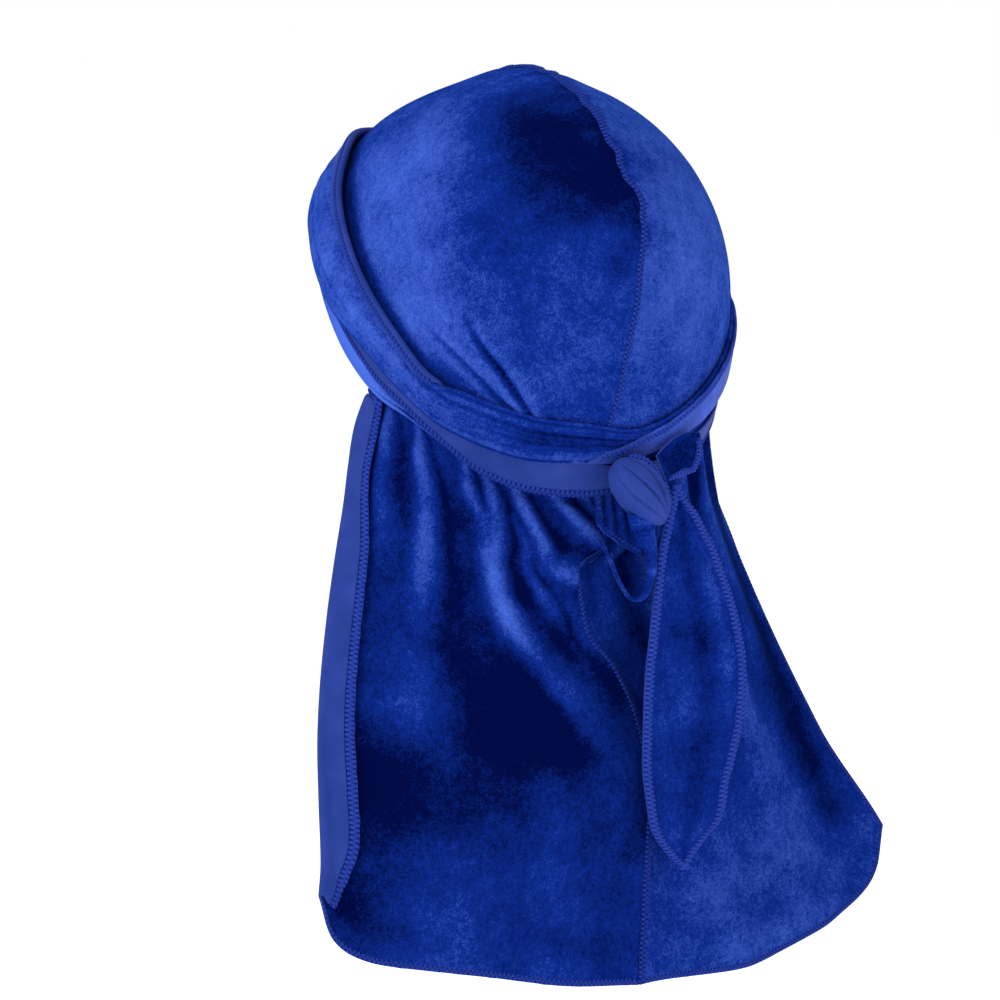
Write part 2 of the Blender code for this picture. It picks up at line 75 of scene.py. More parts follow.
floor_mesh = bpy.data.meshes.new("floor")
floor_side = 14.0
floor_height = -0.42
floor_mesh.from_pydata(
    [(-floor_side, -floor_side, floor_height), (floor_side, -floor_side, floor_height),
     (floor_side, floor_side, floor_height), (-floor_side, floor_side, floor_height)],
    [], [(0, 1, 2, 3)])
floor_paint = bpy.data.materials.new("pale_floor")
floor_paint.use_nodes = True
floor_shader = floor_paint.node_tree.nodes["Principled BSDF"]
floor_shader.inputs["Base Color"].default_value = (0.90, 0.90, 0.90, 1.0)
floor_shader.inputs["Roughness"].default_value = 0.9
floor_shader.inputs["Specular IOR Level"].default_value = 0.0
floor_shader.inputs["Emission Color"].default_value = (1.0, 1.0, 1.0, 1.0)
floor_shader.inputs["Emission Strength"].default_value = 0.72
floor_mesh.materials.append(floor_paint)
floor = bpy.data.objects.new("floor", floor_mesh)
bpy.context.scene.collection.objects.link(floor)

bpy.context.scene.view_settings.view_transform = "Standard"
world = bpy.data.worlds.new("studio")
world.use_nodes = True
world_tree = world.node_tree
world_tree.nodes["Background"].inputs["Color"].default_value = (1.0, 1.0, 1.0, 1.0)
ray = world_tree.nodes.new("ShaderNodeLightPath")
studio_level = world_tree.nodes.new("ShaderNodeMapRange")
studio_level.inputs["To Min"].default_value = 0.34
studio_level.inputs["To Max"].default_value = 1.0
world_tree.links.new(ray.outputs["Is Camera Ray"], studio_level.inputs["Value"])
world_tree.links.new(studio_level.outputs["Result"], world_tree.nodes["Background"].inputs["Strength"])
bpy.context.scene.world = world


def softbox(name, turn, rise, away, size, power):
    """Square lamp at a turn and rise round the head, facing its centre."""
    a = math.radians(turn)
    b = math.radians(rise)
    place = Vector((math.sin(a) * math.cos(b), -math.cos(a) * math.cos(b), math.sin(b))) * away
    lamp_data = bpy.data.lights.new(name, "AREA")
    lamp_data.shape = "SQUARE"
    lamp_data.size = size
    lamp_data.energy = power
    lamp = bpy.data.objects.new(name, lamp_data)
    lamp.location = place
    lamp.rotation_mode = "QUATERNION"
    lamp.rotation_quaternion = (-place).to_track_quat("-Z", "Y")
    bpy.context.scene.collection.objects.link(lamp)


softbox("key_softbox", 104.0, 44.0, 1.5, 0.8, 13.0)
softbox("fill_softbox", 205.0, 22.0, 1.8, 1.0, 7.0)
softbox("front_softbox", 15.0, 40.0, 1.8, 1.0, 6.0)


# Cloth finishes
# The durag is cut from one stretch velvet: a napped royal blue face and a matt knitted back.
# Every raw edge is overlocked with a slightly paler, rounder thread.
def finish(name, roughness, sheen, sheen_tint, sheen_roughness, specular):
    """New material with its shader's fixed numbers set on the shader itself."""
    paint = bpy.data.materials.new(name)
    paint.use_nodes = True
    shader = paint.node_tree.nodes["Principled BSDF"]
    shader.inputs["Roughness"].default_value = roughness
    shader.inputs["Metallic"].default_value = 0.0
    shader.inputs["Specular IOR Level"].default_value = specular
    shader.inputs["Sheen Weight"].default_value = sheen
    shader.inputs["Sheen Tint"].default_value = sheen_tint
    shader.inputs["Sheen Roughness"].default_value = sheen_roughness
    return paint, paint.node_tree, shader


def node(tree, kind, **settings):
    """New shader node with its settings and its sockets' fixed values."""
    made = tree.nodes.new(kind)
    for key, value in settings.items():
        if key in made.bl_rna.properties:
            setattr(made, key, value)
        else:
            made.inputs[key.replace("_", " ")].default_value = value
    return made


def scaled(tree, source, gain, shift):
    """Output of a node's factor times a gain, plus a shift."""
    made = node(tree, "ShaderNodeMath", operation="MULTIPLY_ADD")
    made.inputs[1].default_value = gain
    made.inputs[2].default_value = shift
    tree.links.new(source.outputs["Fac"], made.inputs[0])
    return made.outputs[0]


def added(tree, first, second):
    """Output of the sum of two outputs."""
    made = node(tree, "ShaderNodeMath", operation="ADD")
    tree.links.new(first, made.inputs[0])
    tree.links.new(second, made.inputs[1])
    return made.outputs[0]


def toned(tree, shader, level, first, last, between=()):
    """Base colour read off a ramp by level. A stop is its position, red, green and blue."""
    ramp = node(tree, "ShaderNodeValToRGB")
    for element, stop in zip(ramp.color_ramp.elements, (first, last)):
        element.position = stop[0]
        element.color = stop[1:] + (1.0,)
    for stop in between:
        ramp.color_ramp.elements.new(stop[0]).color = stop[1:] + (1.0,)
    tree.links.new(level, ramp.inputs["Fac"])
    tree.links.new(ramp.outputs["Color"], shader.inputs["Base Color"])


def bumped(tree, shader, height, strength, distance):
    """Normal tilted by the slope of a height."""
    bump = node(tree, "ShaderNodeBump", Strength=strength, Distance=distance)
    tree.links.new(height, bump.inputs["Height"])
    tree.links.new(bump.outputs["Normal"], shader.inputs["Normal"])


def clouds(tree, scale, detail, roughness):
    """Noise on the object's own coordinates."""
    place = node(tree, "ShaderNodeTexCoord")
    texture = node(tree, "ShaderNodeTexNoise", Scale=scale, Detail=detail, Roughness=roughness)
    tree.links.new(place.outputs["Object"], texture.inputs["Vector"])
    return texture


# The velvet's base colour is read from a per-point attribute. It is partly the lie of the crushed pile, and
# partly painted highlight on ridges and painted shade in creases, folds and gaps.
velvet, tree, shader = finish("velvet", 0.8, 0.22, (0.06, 0.22, 1.0, 1.0), 0.35, 0.0)
nap_and_painted_light = node(tree, "ShaderNodeAttribute", attribute_name="nap_and_painted_light")
cloud = scaled(tree, clouds(tree, 70.0, 4.0, 0.6), 0.55, -0.275)
pile = scaled(tree, clouds(tree, 1150.0, 3.0, 0.75), 0.80, -0.40)
crush = scaled(tree, clouds(tree, 420.0, 3.0, 0.65), 0.46, -0.23)
grain = added(tree, pile, crush)
lie = added(tree, grain, added(tree, nap_and_painted_light.outputs["Fac"], cloud))
toned(tree, shader, lie, (0.0, 0.0006, 0.0030, 0.054), (1.0, 0.064, 0.145, 0.68),
      [(0.45, 0.0045, 0.026, 0.27)])
bumped(tree, shader, grain, 0.35, 0.0006)

knit_back, tree, shader = finish("knit_back", 0.55, 0.06, (0.25, 0.42, 1.0, 1.0), 0.5, 0.05)
follow = node(tree, "ShaderNodeUVMap", uv_map="cloth")
columns_of_loops = node(tree, "ShaderNodeTexWave", Scale=320.0, Distortion=1.2, Detail=1.0)
columns_of_loops.bands_direction = "X"
tree.links.new(follow.outputs["UV"], columns_of_loops.inputs["Vector"])
shine = scaled(tree, node(tree, "ShaderNodeAttribute", attribute_name="shine"), 0.7, 0.0)
shade = added(tree, shine, clouds(tree, 60.0, 3.0, 0.55).outputs["Fac"])
toned(tree, shader, shade, (0.30, 0.017, 0.043, 0.27), (1.0, 0.046, 0.108, 0.64),
      [(0.66, 0.029, 0.060, 0.34)])
bumped(tree, shader, columns_of_loops.outputs["Fac"], 0.22, 0.0002)

thread, tree, shader = finish("overlock_thread", 0.6, 0.05, (0.1, 0.32, 1.0, 1.0), 0.5, 0.02)
twist = clouds(tree, 1500.0, 2.0, 0.6)
# The thread's colour level is each binding's tone, with painted shade in the hollows between its wraps.
strand_tone_and_shade = node(tree, "ShaderNodeAttribute", attribute_name="nap_and_painted_light")
fibre = added(tree, scaled(tree, twist, 0.5, -0.25), strand_tone_and_shade.outputs["Fac"])
toned(tree, shader, fibre, (0.10, 0.0018, 0.008, 0.11), (0.85, 0.030, 0.070, 0.48))
bumped(tree, shader, twist.outputs["Fac"], 0.4, 0.0002)


# Crown panels
# Two velvet halves, sewn together over the top of the head from forehead to nape.
# Each is stretched smooth over the head and gathered a little into the centre seam.
HEAD_HALF_WIDTH = 0.0786
HEAD_HALF_LENGTH = 0.0986
CROWN_HEIGHT = 0.0868
NAPE_DROP = 0.115
PANEL_WALL = 0.0012
SEAM_DRIFT = 9.6
# Height in crown heights, and the seam's turn there as a share of SEAM_DRIFT degrees.
DRIFT_ROWS = ((-0.90, 1.00), (-0.53, 1.00), (-0.42, 0.86), (-0.19, 0.69), (0.03, 0.42),
              (0.15, 0.32), (0.25, 0.16), (0.33, 0.04), (0.42, -0.06), (0.48, 0.00), (0.54, 0.24),
              (0.62, 0.28), (0.72, 0.32), (0.80, 0.27), (0.95, 0.42), (1.00, 0.42))
CROWN_LIFT = 0.0031
# Height of the upper tie's top edge by turn, as a share of the crown's height. The left crown is painted
# darker just above it, as the shadow of the gap under the tie's edge.
TIE_SHADOW_ROWS = ((-60.0, 0.71), (-35.0, 0.68), (-20.0, 0.60), (-10.0, 0.455), (0.0, 0.288),
                   (10.0, 0.085), (20.0, -0.125), (30.0, -0.32), (40.0, -0.388), (50.0, -0.445),
                   (60.0, -0.49), (75.0, -0.52), (90.0, -0.547))


def smooth_rows(rows, column, at):
    """Table column read smoothly: a cubic from row to row, sloped as the rows on either side of it."""
    table = np.array(rows, float)
    key = table[:, 0]
    value = table[:, column]
    slope = np.empty_like(value)
    slope[1:-1] = (value[2:] - value[:-2]) / (key[2:] - key[:-2])
    slope[0] = (value[1] - value[0]) / (key[1] - key[0])
    slope[-1] = (value[-1] - value[-2]) / (key[-1] - key[-2])
    at = np.clip(at, key[0], key[-1])
    step = np.clip(np.searchsorted(key, at, side="right") - 1, 0, len(key) - 2)
    span = key[step + 1] - key[step]
    part = (at - key[step]) / span
    return ((2 * part ** 3 - 3 * part ** 2 + 1) * value[step]
            + (part ** 3 - 2 * part ** 2 + part) * span * slope[step]
            + (3 * part ** 2 - 2 * part ** 3) * value[step + 1]
            + (part ** 3 - part ** 2) * span * slope[step + 1])


def ease(value):
    """0 below 0, 1 above 1, and a smooth step between."""
    value = np.clip(value, 0.0, 1.0)
    return value * value * (3.0 - 2.0 * value)


def bell(value, middle, width):
    """1 where a value is at its middle, fading on both sides of it over the width."""
    return np.exp(-((value - middle) / width) ** 2)


def head_form(turn, height, out):
    """Ellipse of the head at a height, at a turn in degrees, pushed out along the form's normal."""
    turn, height, out = np.broadcast_arrays(turn, height, out)
    angle = np.radians(turn)
    reach = np.where(height >= 0.0, CROWN_HEIGHT, NAPE_DROP)
    ring = np.sqrt(np.clip(1.0 - (height / reach) ** 2, 0.0, 1.0))
    x = HEAD_HALF_WIDTH * np.cos(angle) * ring
    y = HEAD_HALF_LENGTH * np.sin(angle) * ring
    normal = np.stack([x / HEAD_HALF_WIDTH ** 2, y / HEAD_HALF_LENGTH ** 2, height / reach ** 2], -1)
    normal /= np.linalg.norm(normal, axis=-1, keepdims=True)
    return np.stack([x, y, height + 0.0 * x], -1) + normal * out[..., None]


def along_line(points, line):
    """Distance of each point from a line of points, and the share of the line where it is nearest."""
    line = np.array(line, float)
    legs = np.linalg.norm(np.diff(line, axis=0), axis=1)
    reached = np.concatenate([[0.0], np.cumsum(legs)])
    best = np.full(points.shape[:-1], 1e9)
    share = np.zeros(points.shape[:-1])
    for k in range(len(legs)):
        leg = line[k + 1] - line[k]
        part = np.clip(((points - line[k]) @ leg) / max(legs[k] ** 2, 1e-12), 0.0, 1.0)
        gap = np.linalg.norm(points - line[k] - part[..., None] * leg, axis=-1)
        nearer = gap < best
        best = np.where(nearer, gap, best)
        share = np.where(nearer, (reached[k] + part * legs[k]) / reached[-1], share)
    return best, share


def rounded_line(line, count):
    """The same line with its corners rounded: each coordinate read smoothly along its length."""
    line = np.array(line, float)
    reached = np.concatenate([[0.0], np.cumsum(np.linalg.norm(np.diff(line, axis=0), axis=1))])
    at = np.linspace(0.0, reached[-1], count)
    rows = np.column_stack([reached, line])
    return np.stack([smooth_rows(rows, 1 + k, at) for k in range(line.shape[1])], -1)


def ripple(at, seed, count):
    """Unrepeating wave along a length from 0 to 1: a sum of sines of rising, uneven pace."""
    total = np.zeros_like(at, dtype=float)
    for k in range(3):
        pace = count * (1.0 + 0.63 * k)
        total = total + np.sin(2.0 * np.pi * pace * at + seed * (1.7 + k)) / (1.0 + 0.6 * k)
    return total / 1.9


def lay_cloth(name, points, nap_and_painted_light, wall, face, back, shine=0.0):
    """Grid of points made into a cloth: its face is the given surface and its wall lies behind it."""
    rows, columns = points.shape[:2]
    mesh = bpy.data.meshes.new(name)
    mesh.vertices.add(rows * columns)
    mesh.vertices.foreach_set("co", points.astype(np.float32).ravel())
    row, column = np.divmod(np.arange((rows - 1) * (columns - 1)), columns - 1)
    start = row * columns + column
    corners = np.stack([start, start + 1, start + columns + 1, start + columns], 1)
    mesh.loops.add(corners.size)
    mesh.loops.foreach_set("vertex_index", corners.ravel())
    mesh.polygons.add(len(corners))
    mesh.polygons.foreach_set("loop_start", np.arange(0, corners.size, 4))
    mesh.update(calc_edges=True)
    down = np.concatenate([np.zeros((1, columns)), np.linalg.norm(np.diff(points, axis=0), axis=2)], 0)
    across = np.concatenate([np.zeros((rows, 1)), np.linalg.norm(np.diff(points, axis=1), axis=2)], 1)
    middle_row = np.cumsum(across[rows // 2])
    middle_column = np.cumsum(down[:, columns // 2])
    flat = np.stack(np.broadcast_arrays(middle_row[None, :], middle_column[:, None]), -1).reshape(-1, 2)
    uv = mesh.uv_layers.new(name="cloth")
    uv.data.foreach_set("uv", flat[corners.ravel()].astype(np.float32).ravel())
    held = mesh.attributes.new("nap_and_painted_light", "FLOAT", "POINT")
    held.data.foreach_set("value", np.broadcast_to(nap_and_painted_light, (rows, columns)).astype(np.float32).ravel())
    held = mesh.attributes.new("shine", "FLOAT", "POINT")
    held.data.foreach_set("value", np.broadcast_to(shine, (rows, columns)).astype(np.float32).ravel())
    shape = bmesh.new()
    shape.from_mesh(mesh)
    bmesh.ops.remove_doubles(shape, verts=shape.verts, dist=0.000002)
    shape.to_mesh(mesh)
    shape.free()
    mesh.polygons.foreach_set("use_smooth", np.ones(len(mesh.polygons), bool))
    mesh.materials.append(face)
    mesh.materials.append(back)
    piece = bpy.data.objects.new(name, mesh)
    bpy.context.scene.collection.objects.link(piece)
    if wall > 0.0:
        thick = piece.modifiers.new("wall", "SOLIDIFY")
        thick.thickness = wall
        thick.offset = -1.0
        thick.material_offset = 1
        thick.material_offset_rim = 1
        thick.use_quality_normals = True
    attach(piece, "root")
    return piece


def seam_turn(side, turn, height):
    """Turn of a place behind the ear, moved round so that the centre seam follows its drift."""
    way = np.clip((turn - 6.0) / 84.0, 0.0, 1.0)
    drift = SEAM_DRIFT * smooth_rows(DRIFT_ROWS, 1, height / CROWN_HEIGHT)
    return turn - side * drift * way ** 2.5


# Each pleat: its line, depth, width and how much darker its crease is painted, as shade.
crown_pleats = (
    (((0.0720, 0.0400, -0.004), (0.0644, 0.0570, -0.0177), (0.0562, 0.0663, -0.0290),
      (0.0484, 0.0721, -0.0387), (0.0400, 0.0760, -0.0440)), 0.0012, 0.0022, 0.22),
    (((0.0630, 0.0610, 0.000), (0.0573, 0.0682, -0.0152), (0.0513, 0.0734, -0.0248),
      (0.0444, 0.0768, -0.0365), (0.0400, 0.0775, -0.0430)), 0.0019, 0.0024, 0.45),
)
# Where the pile lies down or stands up, by side: centre, spread and change.
crown_nap = {
    1.0: (((0.020, 0.064, 0.060), 0.030, -0.45), ((0.010, 0.088, 0.044), 0.020, -0.36),
          ((0.020, 0.040, 0.074), 0.020, -0.20), ((0.045, 0.080, 0.004), 0.030, -0.03),
          ((0.066, 0.020, 0.040), 0.040, 0.26), ((0.058, 0.030, 0.064), 0.026, 0.10),
          ((0.018, 0.093, 0.0266), 0.013, 0.10), ((0.011, 0.096, 0.0174), 0.007, -0.16),
          ((0.030, 0.093, -0.020), 0.022, 0.02), ((0.052, 0.062, 0.026), 0.020, -0.16),
          ((0.070, 0.045, -0.006), 0.026, 0.24), ((0.036, 0.050, 0.070), 0.014, -0.10),
          ((0.010, 0.030, 0.084), 0.018, 0.10), ((0.006, 0.083, -0.061), 0.012, -0.40)),
    -1.0: (((0.022, 0.092, 0.020), 0.040, 0.16), ((0.040, 0.075, 0.040), 0.050, 0.10),
           ((0.008, 0.080, 0.052), 0.012, -0.10), ((0.006, 0.094, 0.026), 0.008, -0.14),
           ((0.055, 0.058, -0.034), 0.014, -0.60), ((0.006, 0.083, -0.061), 0.012, -0.40)),
}


def crown_surface(side, along, aside):
    """Half dome. along goes over the head from forehead (0) to nape (1) and aside from the seam (0)
    down to the ear (1), as two angles of the head's ellipsoid."""
    front_end = -math.acos(0.030 / CROWN_HEIGHT)
    back_end = math.pi / 2.0 + math.asin(0.068 / NAPE_DROP)
    over = front_end + (back_end - front_end) * along
    out_angle = np.pi / 2.0 * aside
    x = np.sin(out_angle)
    y = np.cos(out_angle) * np.sin(over)
    z = np.cos(out_angle) * np.cos(over)
    height = z * np.where(z >= 0.0, CROWN_HEIGHT, NAPE_DROP)
    turn = np.degrees(np.arctan2(y, np.maximum(x, 1e-9)))
    turned = np.where(turn > 0.0, seam_turn(side, turn, height), turn)
    return turned, height, over


def gather(along):
    """How far the cloth is drawn up along the seam: full over the top, none at forehead and nape."""
    return ease((along - 0.21) / 0.13) * ease((0.80 - along) / 0.18)


def near_spot(points, centre, spread):
    """1 at a place and fading round it like a bell."""
    return bell(np.linalg.norm(points - np.array(centre), axis=-1), 0.0, spread)


for side, name, node_name in ((1.0, "crown_left", "panel_left"), (-1.0, "crown_right", "panel_right")):
    along, aside = np.meshgrid(np.linspace(0.0, 1.0, 180), np.linspace(0.0, 1.0, 84) ** 1.25)
    turned, height, over = crown_surface(side, along, aside)
    plain = head_form(turned, height, PANEL_WALL)
    from_seam = np.abs(aside) * np.pi / 2.0 * HEAD_HALF_WIDTH
    gathered = gather(along)
    lift = CROWN_LIFT * bell(from_seam, 0.0, 0.013) * (0.15 + 0.85 * gathered)
    pucker = ripple(along + 0.10 * aside, 2.0 + side, 21.0) * np.exp(-from_seam / 0.0105) * gathered
    pucker = pucker * ease(from_seam / 0.002) * 0.00075
    long_wrinkle = ripple(along + 0.05 * aside, 5.0 + side, 9.0) * gathered
    long_wrinkle = long_wrinkle * 0.0004 * np.exp(-from_seam / 0.024)
    shift = lift + pucker + long_wrinkle
    # Colour level of the crown: the lie of the pile, with painted shade and painted highlight added below.
    pile_lie_and_painted_light = (0.46 if side > 0.0 else 0.52) + 0.0 * shift
    if side > 0.0:
        for line, deep, wide, darker in crown_pleats:
            gap, share = along_line(plain, rounded_line(line, 20))
            grow = ease(share / 0.45)
            shift = shift - deep * grow * bell(gap, 0.0, 0.42 * wide)
            shift = shift + 0.5 * deep * grow * bell(gap, wide, 0.8 * wide)
            # Painted shade in the pleat's crease, and a painted highlight on its raised shoulder beside it.
            pile_lie_and_painted_light = pile_lie_and_painted_light - darker * grow * bell(gap, 0.0, 0.6 * wide)
            pile_lie_and_painted_light = pile_lie_and_painted_light + 0.15 * grow * bell(gap, 1.3 * wide, wide)
        shift = shift + 0.0036 * near_spot(plain, (0.0500, -0.030, 0.056), 0.028)
        # Painted shadow: a narrow dark line on the crown just above the tie's top edge, where the band stands
        # off the head.
        over_tie = height - smooth_rows(TIE_SHADOW_ROWS, 1, turned) * CROWN_HEIGHT
        painted_tie_shadow = bell(over_tie, 0.001, 0.0045) * ease((turned + 40.0) / 20.0)
        pile_lie_and_painted_light = pile_lie_and_painted_light - 0.45 * painted_tie_shadow * ease((48.0 - turned) / 25.0)
    points = head_form(turned, height, PANEL_WALL + shift)
    for centre, wide, change in crown_nap[side]:
        pile_lie_and_painted_light = pile_lie_and_painted_light + change * near_spot(points, centre, wide)
    # Painted shade in a narrow line along the seam, where the panels are gathered.
    pile_lie_and_painted_light = pile_lie_and_painted_light - 0.18 * bell(from_seam, 0.0, 0.004) * gathered
    # Painted highlight on the raised puckers and wrinkles, and painted shade in their dips.
    pile_lie_and_painted_light = pile_lie_and_painted_light + 160.0 * (pucker + long_wrinkle)
    points[..., 0] *= side
    if side > 0.0:
        points = points[:, ::-1]
        pile_lie_and_painted_light = pile_lie_and_painted_light[:, ::-1]
    crown = lay_cloth(name, points, pile_lie_and_painted_light, 0.0011, velvet, knit_back)
    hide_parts(node_name)


# Overlocked edges
# Every raw edge is bound by an overlocker: thread wound slantwise over the edge, close together.
# One stitch is nearly two millimetres long and the binding three to four millimetres wide.
stitch_pitch = 0.0019


def lay_closed(name, points, nap_and_painted_light, finish_used, shine=0.0):
    """Closed form from a grid whose first and last columns meet and whose end rows shrink to a point."""
    piece = lay_cloth(name, points, nap_and_painted_light, 0.0, finish_used, finish_used, shine)
    shape = bmesh.new()
    shape.from_mesh(piece.data)
    bmesh.ops.recalc_face_normals(shape, faces=shape.faces)
    shape.to_mesh(piece.data)
    shape.free()
    return piece


def overlock(name, line, inward, outward, half_width, half_thick, shine=0.0):
    """Bound edge along a line. Its section is an ellipse that reaches inward from the line, and its
    surface is plaited: hollows where the sine of place over pitch times that of twice the angle is low."""
    line, inward, outward = (np.array(each, float) for each in (line, inward, outward))
    legs = np.linalg.norm(np.diff(line, axis=0), axis=1)
    reached = np.concatenate([[0.0], np.cumsum(legs)])
    count = max(12, int(reached[-1] / stitch_pitch * 7.0))
    at = np.linspace(0.0, reached[-1], count)
    read = [np.stack([np.interp(at, reached, each[:, k]) for k in range(3)], -1)
            for each in (line, inward, outward)]
    place, inside, out = read
    inside /= np.linalg.norm(inside, axis=1, keepdims=True)
    out -= inside * np.sum(out * inside, axis=1, keepdims=True)
    out /= np.linalg.norm(out, axis=1, keepdims=True)
    round_angle = np.linspace(0.0, 2.0 * np.pi, 17)[None, :]
    pace = np.sin(2.0 * np.pi * at[:, None] / stitch_pitch + 0.7 * np.cos(round_angle))
    strand = np.sqrt(0.5 + 0.5 * pace * np.sin(2.0 * round_angle))
    from_end = np.minimum(at, reached[-1] - at)
    shape_at = at / reached[-1]
    if np.ndim(half_width):
        half_width = np.interp(shape_at, np.linspace(0.0, 1.0, len(half_width)), half_width)[:, None]
        half_thick = np.interp(shape_at, np.linspace(0.0, 1.0, len(half_thick)), half_thick)[:, None]
    full = np.sqrt(np.clip(1.0 - (1.0 - np.clip(from_end / 0.0012, 0.0, 1.0)) ** 2, 0.0, 1.0))[:, None]
    uneven = 1.0 + 0.08 * ripple(shape_at, len(name), reached[-1] / 0.012)[:, None]
    reach = (half_width * uneven + 0.00030 * (strand - 0.6)) * full
    rise = (half_thick + 0.00055 * (strand - 0.6)) * full
    middle = place + inside * half_width
    points = (middle[:, None, :] - inside[:, None, :] * (reach * np.cos(round_angle))[..., None]
              + out[:, None, :] * (rise * np.sin(round_angle))[..., None])
    points[:, -1] = points[:, 0]
    # Colour level: the binding's tone, shifted by shine. It is painted darker in the hollows between the
    # wraps, as shade, and lighter on the wound strands.
    bound = lay_closed(name, points, -0.05 + shine + 0.82 * strand, thread)
    return bound


# Crown seam
# The two crown panels meet in a raised, overlocked ridge that lies over to the right.
# It is pulled up and puckered over the top of the head and lies flat lower down.
along = np.linspace(0.02, 0.985, 700)
turned, height, over = crown_surface(1.0, along, np.zeros_like(along))
gathered = gather(along)
wave = ripple(along, 3.0, 17.0) * gathered
seam_out = PANEL_WALL + CROWN_LIFT * (0.15 + 0.85 * gathered) + 0.0001 + 0.0003 * wave
seam_line = head_form(turned, height, seam_out)
to_right = np.stack([-np.ones_like(along), np.zeros_like(along), np.zeros_like(along)], -1)
outward = head_form(turned, height, seam_out + 0.001) - seam_line
seam_line = seam_line + to_right * (0.0009 * wave[:, None] - 0.0007)
ridge_width = np.array([1.2, 1.4, 1.5, 1.7, 1.9, 1.9, 1.6, 1.3, 1.2, 1.1, 1.1]) * 0.001
ridge_thick = np.array([0.5, 0.6, 0.7, 0.9, 1.0, 0.9, 0.6, 0.40, 0.34, 0.30, 0.30]) * 0.001
crown_ridge = overlock("crown_seam_ridge", seam_line, to_right, outward, ridge_width, ridge_thick, -0.14)
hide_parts("crown_seam")


# Cape
# Below the ties the same two panels hang loose over the neck, gathered under the wraps and
# sewn down the middle. The left side edge is turned outwards and shows the matt knitted reverse.
SEAM_GAP = 0.0009
CAPE_DROP = 0.1915
CAPE_LEFT_WIDTH = 0.129
CAPE_RIGHT_WIDTH = 0.137
CAPE_BACK = 0.099
CAPE_SWELL = 0.0025
CAPE_LEFT_HANG = 1.10
CAPE_RIGHT_HANG = 1.28
EAR_TURN = 6.0
SEAM_SWAY = 0.021
# Turn, and the height where cape and crown part on the left and right, in crown heights.
SPLIT_ROWS = ((0.0, -0.415, -0.415), (10.0, -0.495, -0.470), (20.0, -0.576, -0.530),
              (30.0, -0.680, -0.605), (40.0, -0.800, -0.690), (50.0, -0.858, -0.755),
              (60.0, -0.887, -0.812), (75.0, -0.904, -0.864), (90.0, -0.899, -0.899))
# Way from side edge to seam, then the hem's shares of the half's width, CAPE_BACK and CAPE_DROP.
HEM_ROWS = ((0.00, 1.000, 0.690, 0.772), (0.05, 0.971, 0.710, 0.855), (0.10, 0.912, 0.745, 0.900),
            (0.20, 0.800, 0.800, 0.932), (0.40, 0.590, 0.894, 0.955), (0.60, 0.388, 0.950, 0.971),
            (0.80, 0.190, 0.987, 0.987), (1.00, 0.000, 1.000, 1.000))
# Way down, and the seam's sideways sway there as a share of SEAM_SWAY.
SWAY_ROWS = ((0.00, -0.10), (0.04, -0.20), (0.075, -0.20), (0.11, -0.02), (0.134, 0.44), (0.17, 0.46),
             (0.21, 0.45), (0.26, 0.42), (0.29, 0.32), (0.34, -0.05), (0.45, -0.44), (0.62, -0.53),
             (0.82, -0.19), (1.00, 0.14))
# Way down, and how far the left side swells outwards, in metres.
SIDE_SWELL_ROWS = ((0.00, 0.0010), (0.06, 0.0036), (0.14, 0.0047), (0.22, 0.0054), (0.34, 0.0074),
                   (0.46, 0.0088), (0.58, 0.0090), (0.70, 0.0076), (0.82, 0.0043), (0.94, 0.0006),
                   (1.00, 0.0000))
# Way down, and the width of the cloth rolled out along the left edge, in metres.
ROLL_ROWS = ((0.00, 0.0046), (0.065, 0.0060), (0.17, 0.0072), (0.28, 0.0090), (0.50, 0.0094),
             (0.60, 0.0100), (0.70, 0.0116), (0.80, 0.0119), (0.88, 0.0080), (0.93, 0.0045),
             (1.00, 0.0012))

# Each fold: its ridge line in shares (down, way), height, half width at its top and at its end,
# and how far it has faded at its end.
left_folds = (
    (((-0.03, 0.085), (0.03, 0.095), (0.06, 0.115), (0.12, 0.11), (0.18, 0.12), (0.28, 0.12)),
     0.0030, 0.0016, 0.0050, 1.0),
    (((-0.03, 0.20), (0.03, 0.21), (0.06, 0.25), (0.11, 0.265), (0.18, 0.265), (0.27, 0.265),
      (0.35, 0.265), (0.48, 0.28)), 0.0036, 0.0013, 0.0075, 0.9),
    (((-0.03, 0.37), (0.04, 0.39), (0.06, 0.43), (0.11, 0.445), (0.18, 0.48)),
     0.0032, 0.0020, 0.0040, 0.9),
    (((-0.03, 0.45), (0.05, 0.49), (0.11, 0.505), (0.18, 0.51), (0.24, 0.54), (0.28, 0.60),
      (0.34, 0.67), (0.40, 0.73), (0.46, 0.79), (0.53, 0.86), (0.58, 0.93)),
     0.0054, 0.0020, 0.0115, 0.55),
    (((-0.03, 0.575), (0.01, 0.60), (0.06, 0.65), (0.11, 0.72), (0.14, 0.84), (0.15, 0.97)),
     0.0058, 0.0026, 0.0034, 0.25),
    (((0.05, 0.56), (0.08, 0.60), (0.14, 0.67), (0.19, 0.73), (0.25, 0.85), (0.34, 0.87),
      (0.39, 0.93)), 0.0018, 0.0018, 0.0030, 0.6),
    (((-0.03, 0.74), (0.00, 0.79), (0.05, 0.89), (0.09, 0.98)), 0.0050, 0.0026, 0.0024, 0.35),
    (((-0.03, 0.90), (0.00, 0.95), (0.04, 1.00)), 0.0030, 0.0016, 0.0016, 0.3),
    (((0.52, 0.30), (0.70, 0.34), (1.00, 0.38)), 0.0022, 0.0120, 0.0180, 0.0),
    (((0.60, 0.66), (0.80, 0.70), (1.00, 0.74)), 0.0020, 0.0110, 0.0170, 0.0),
)
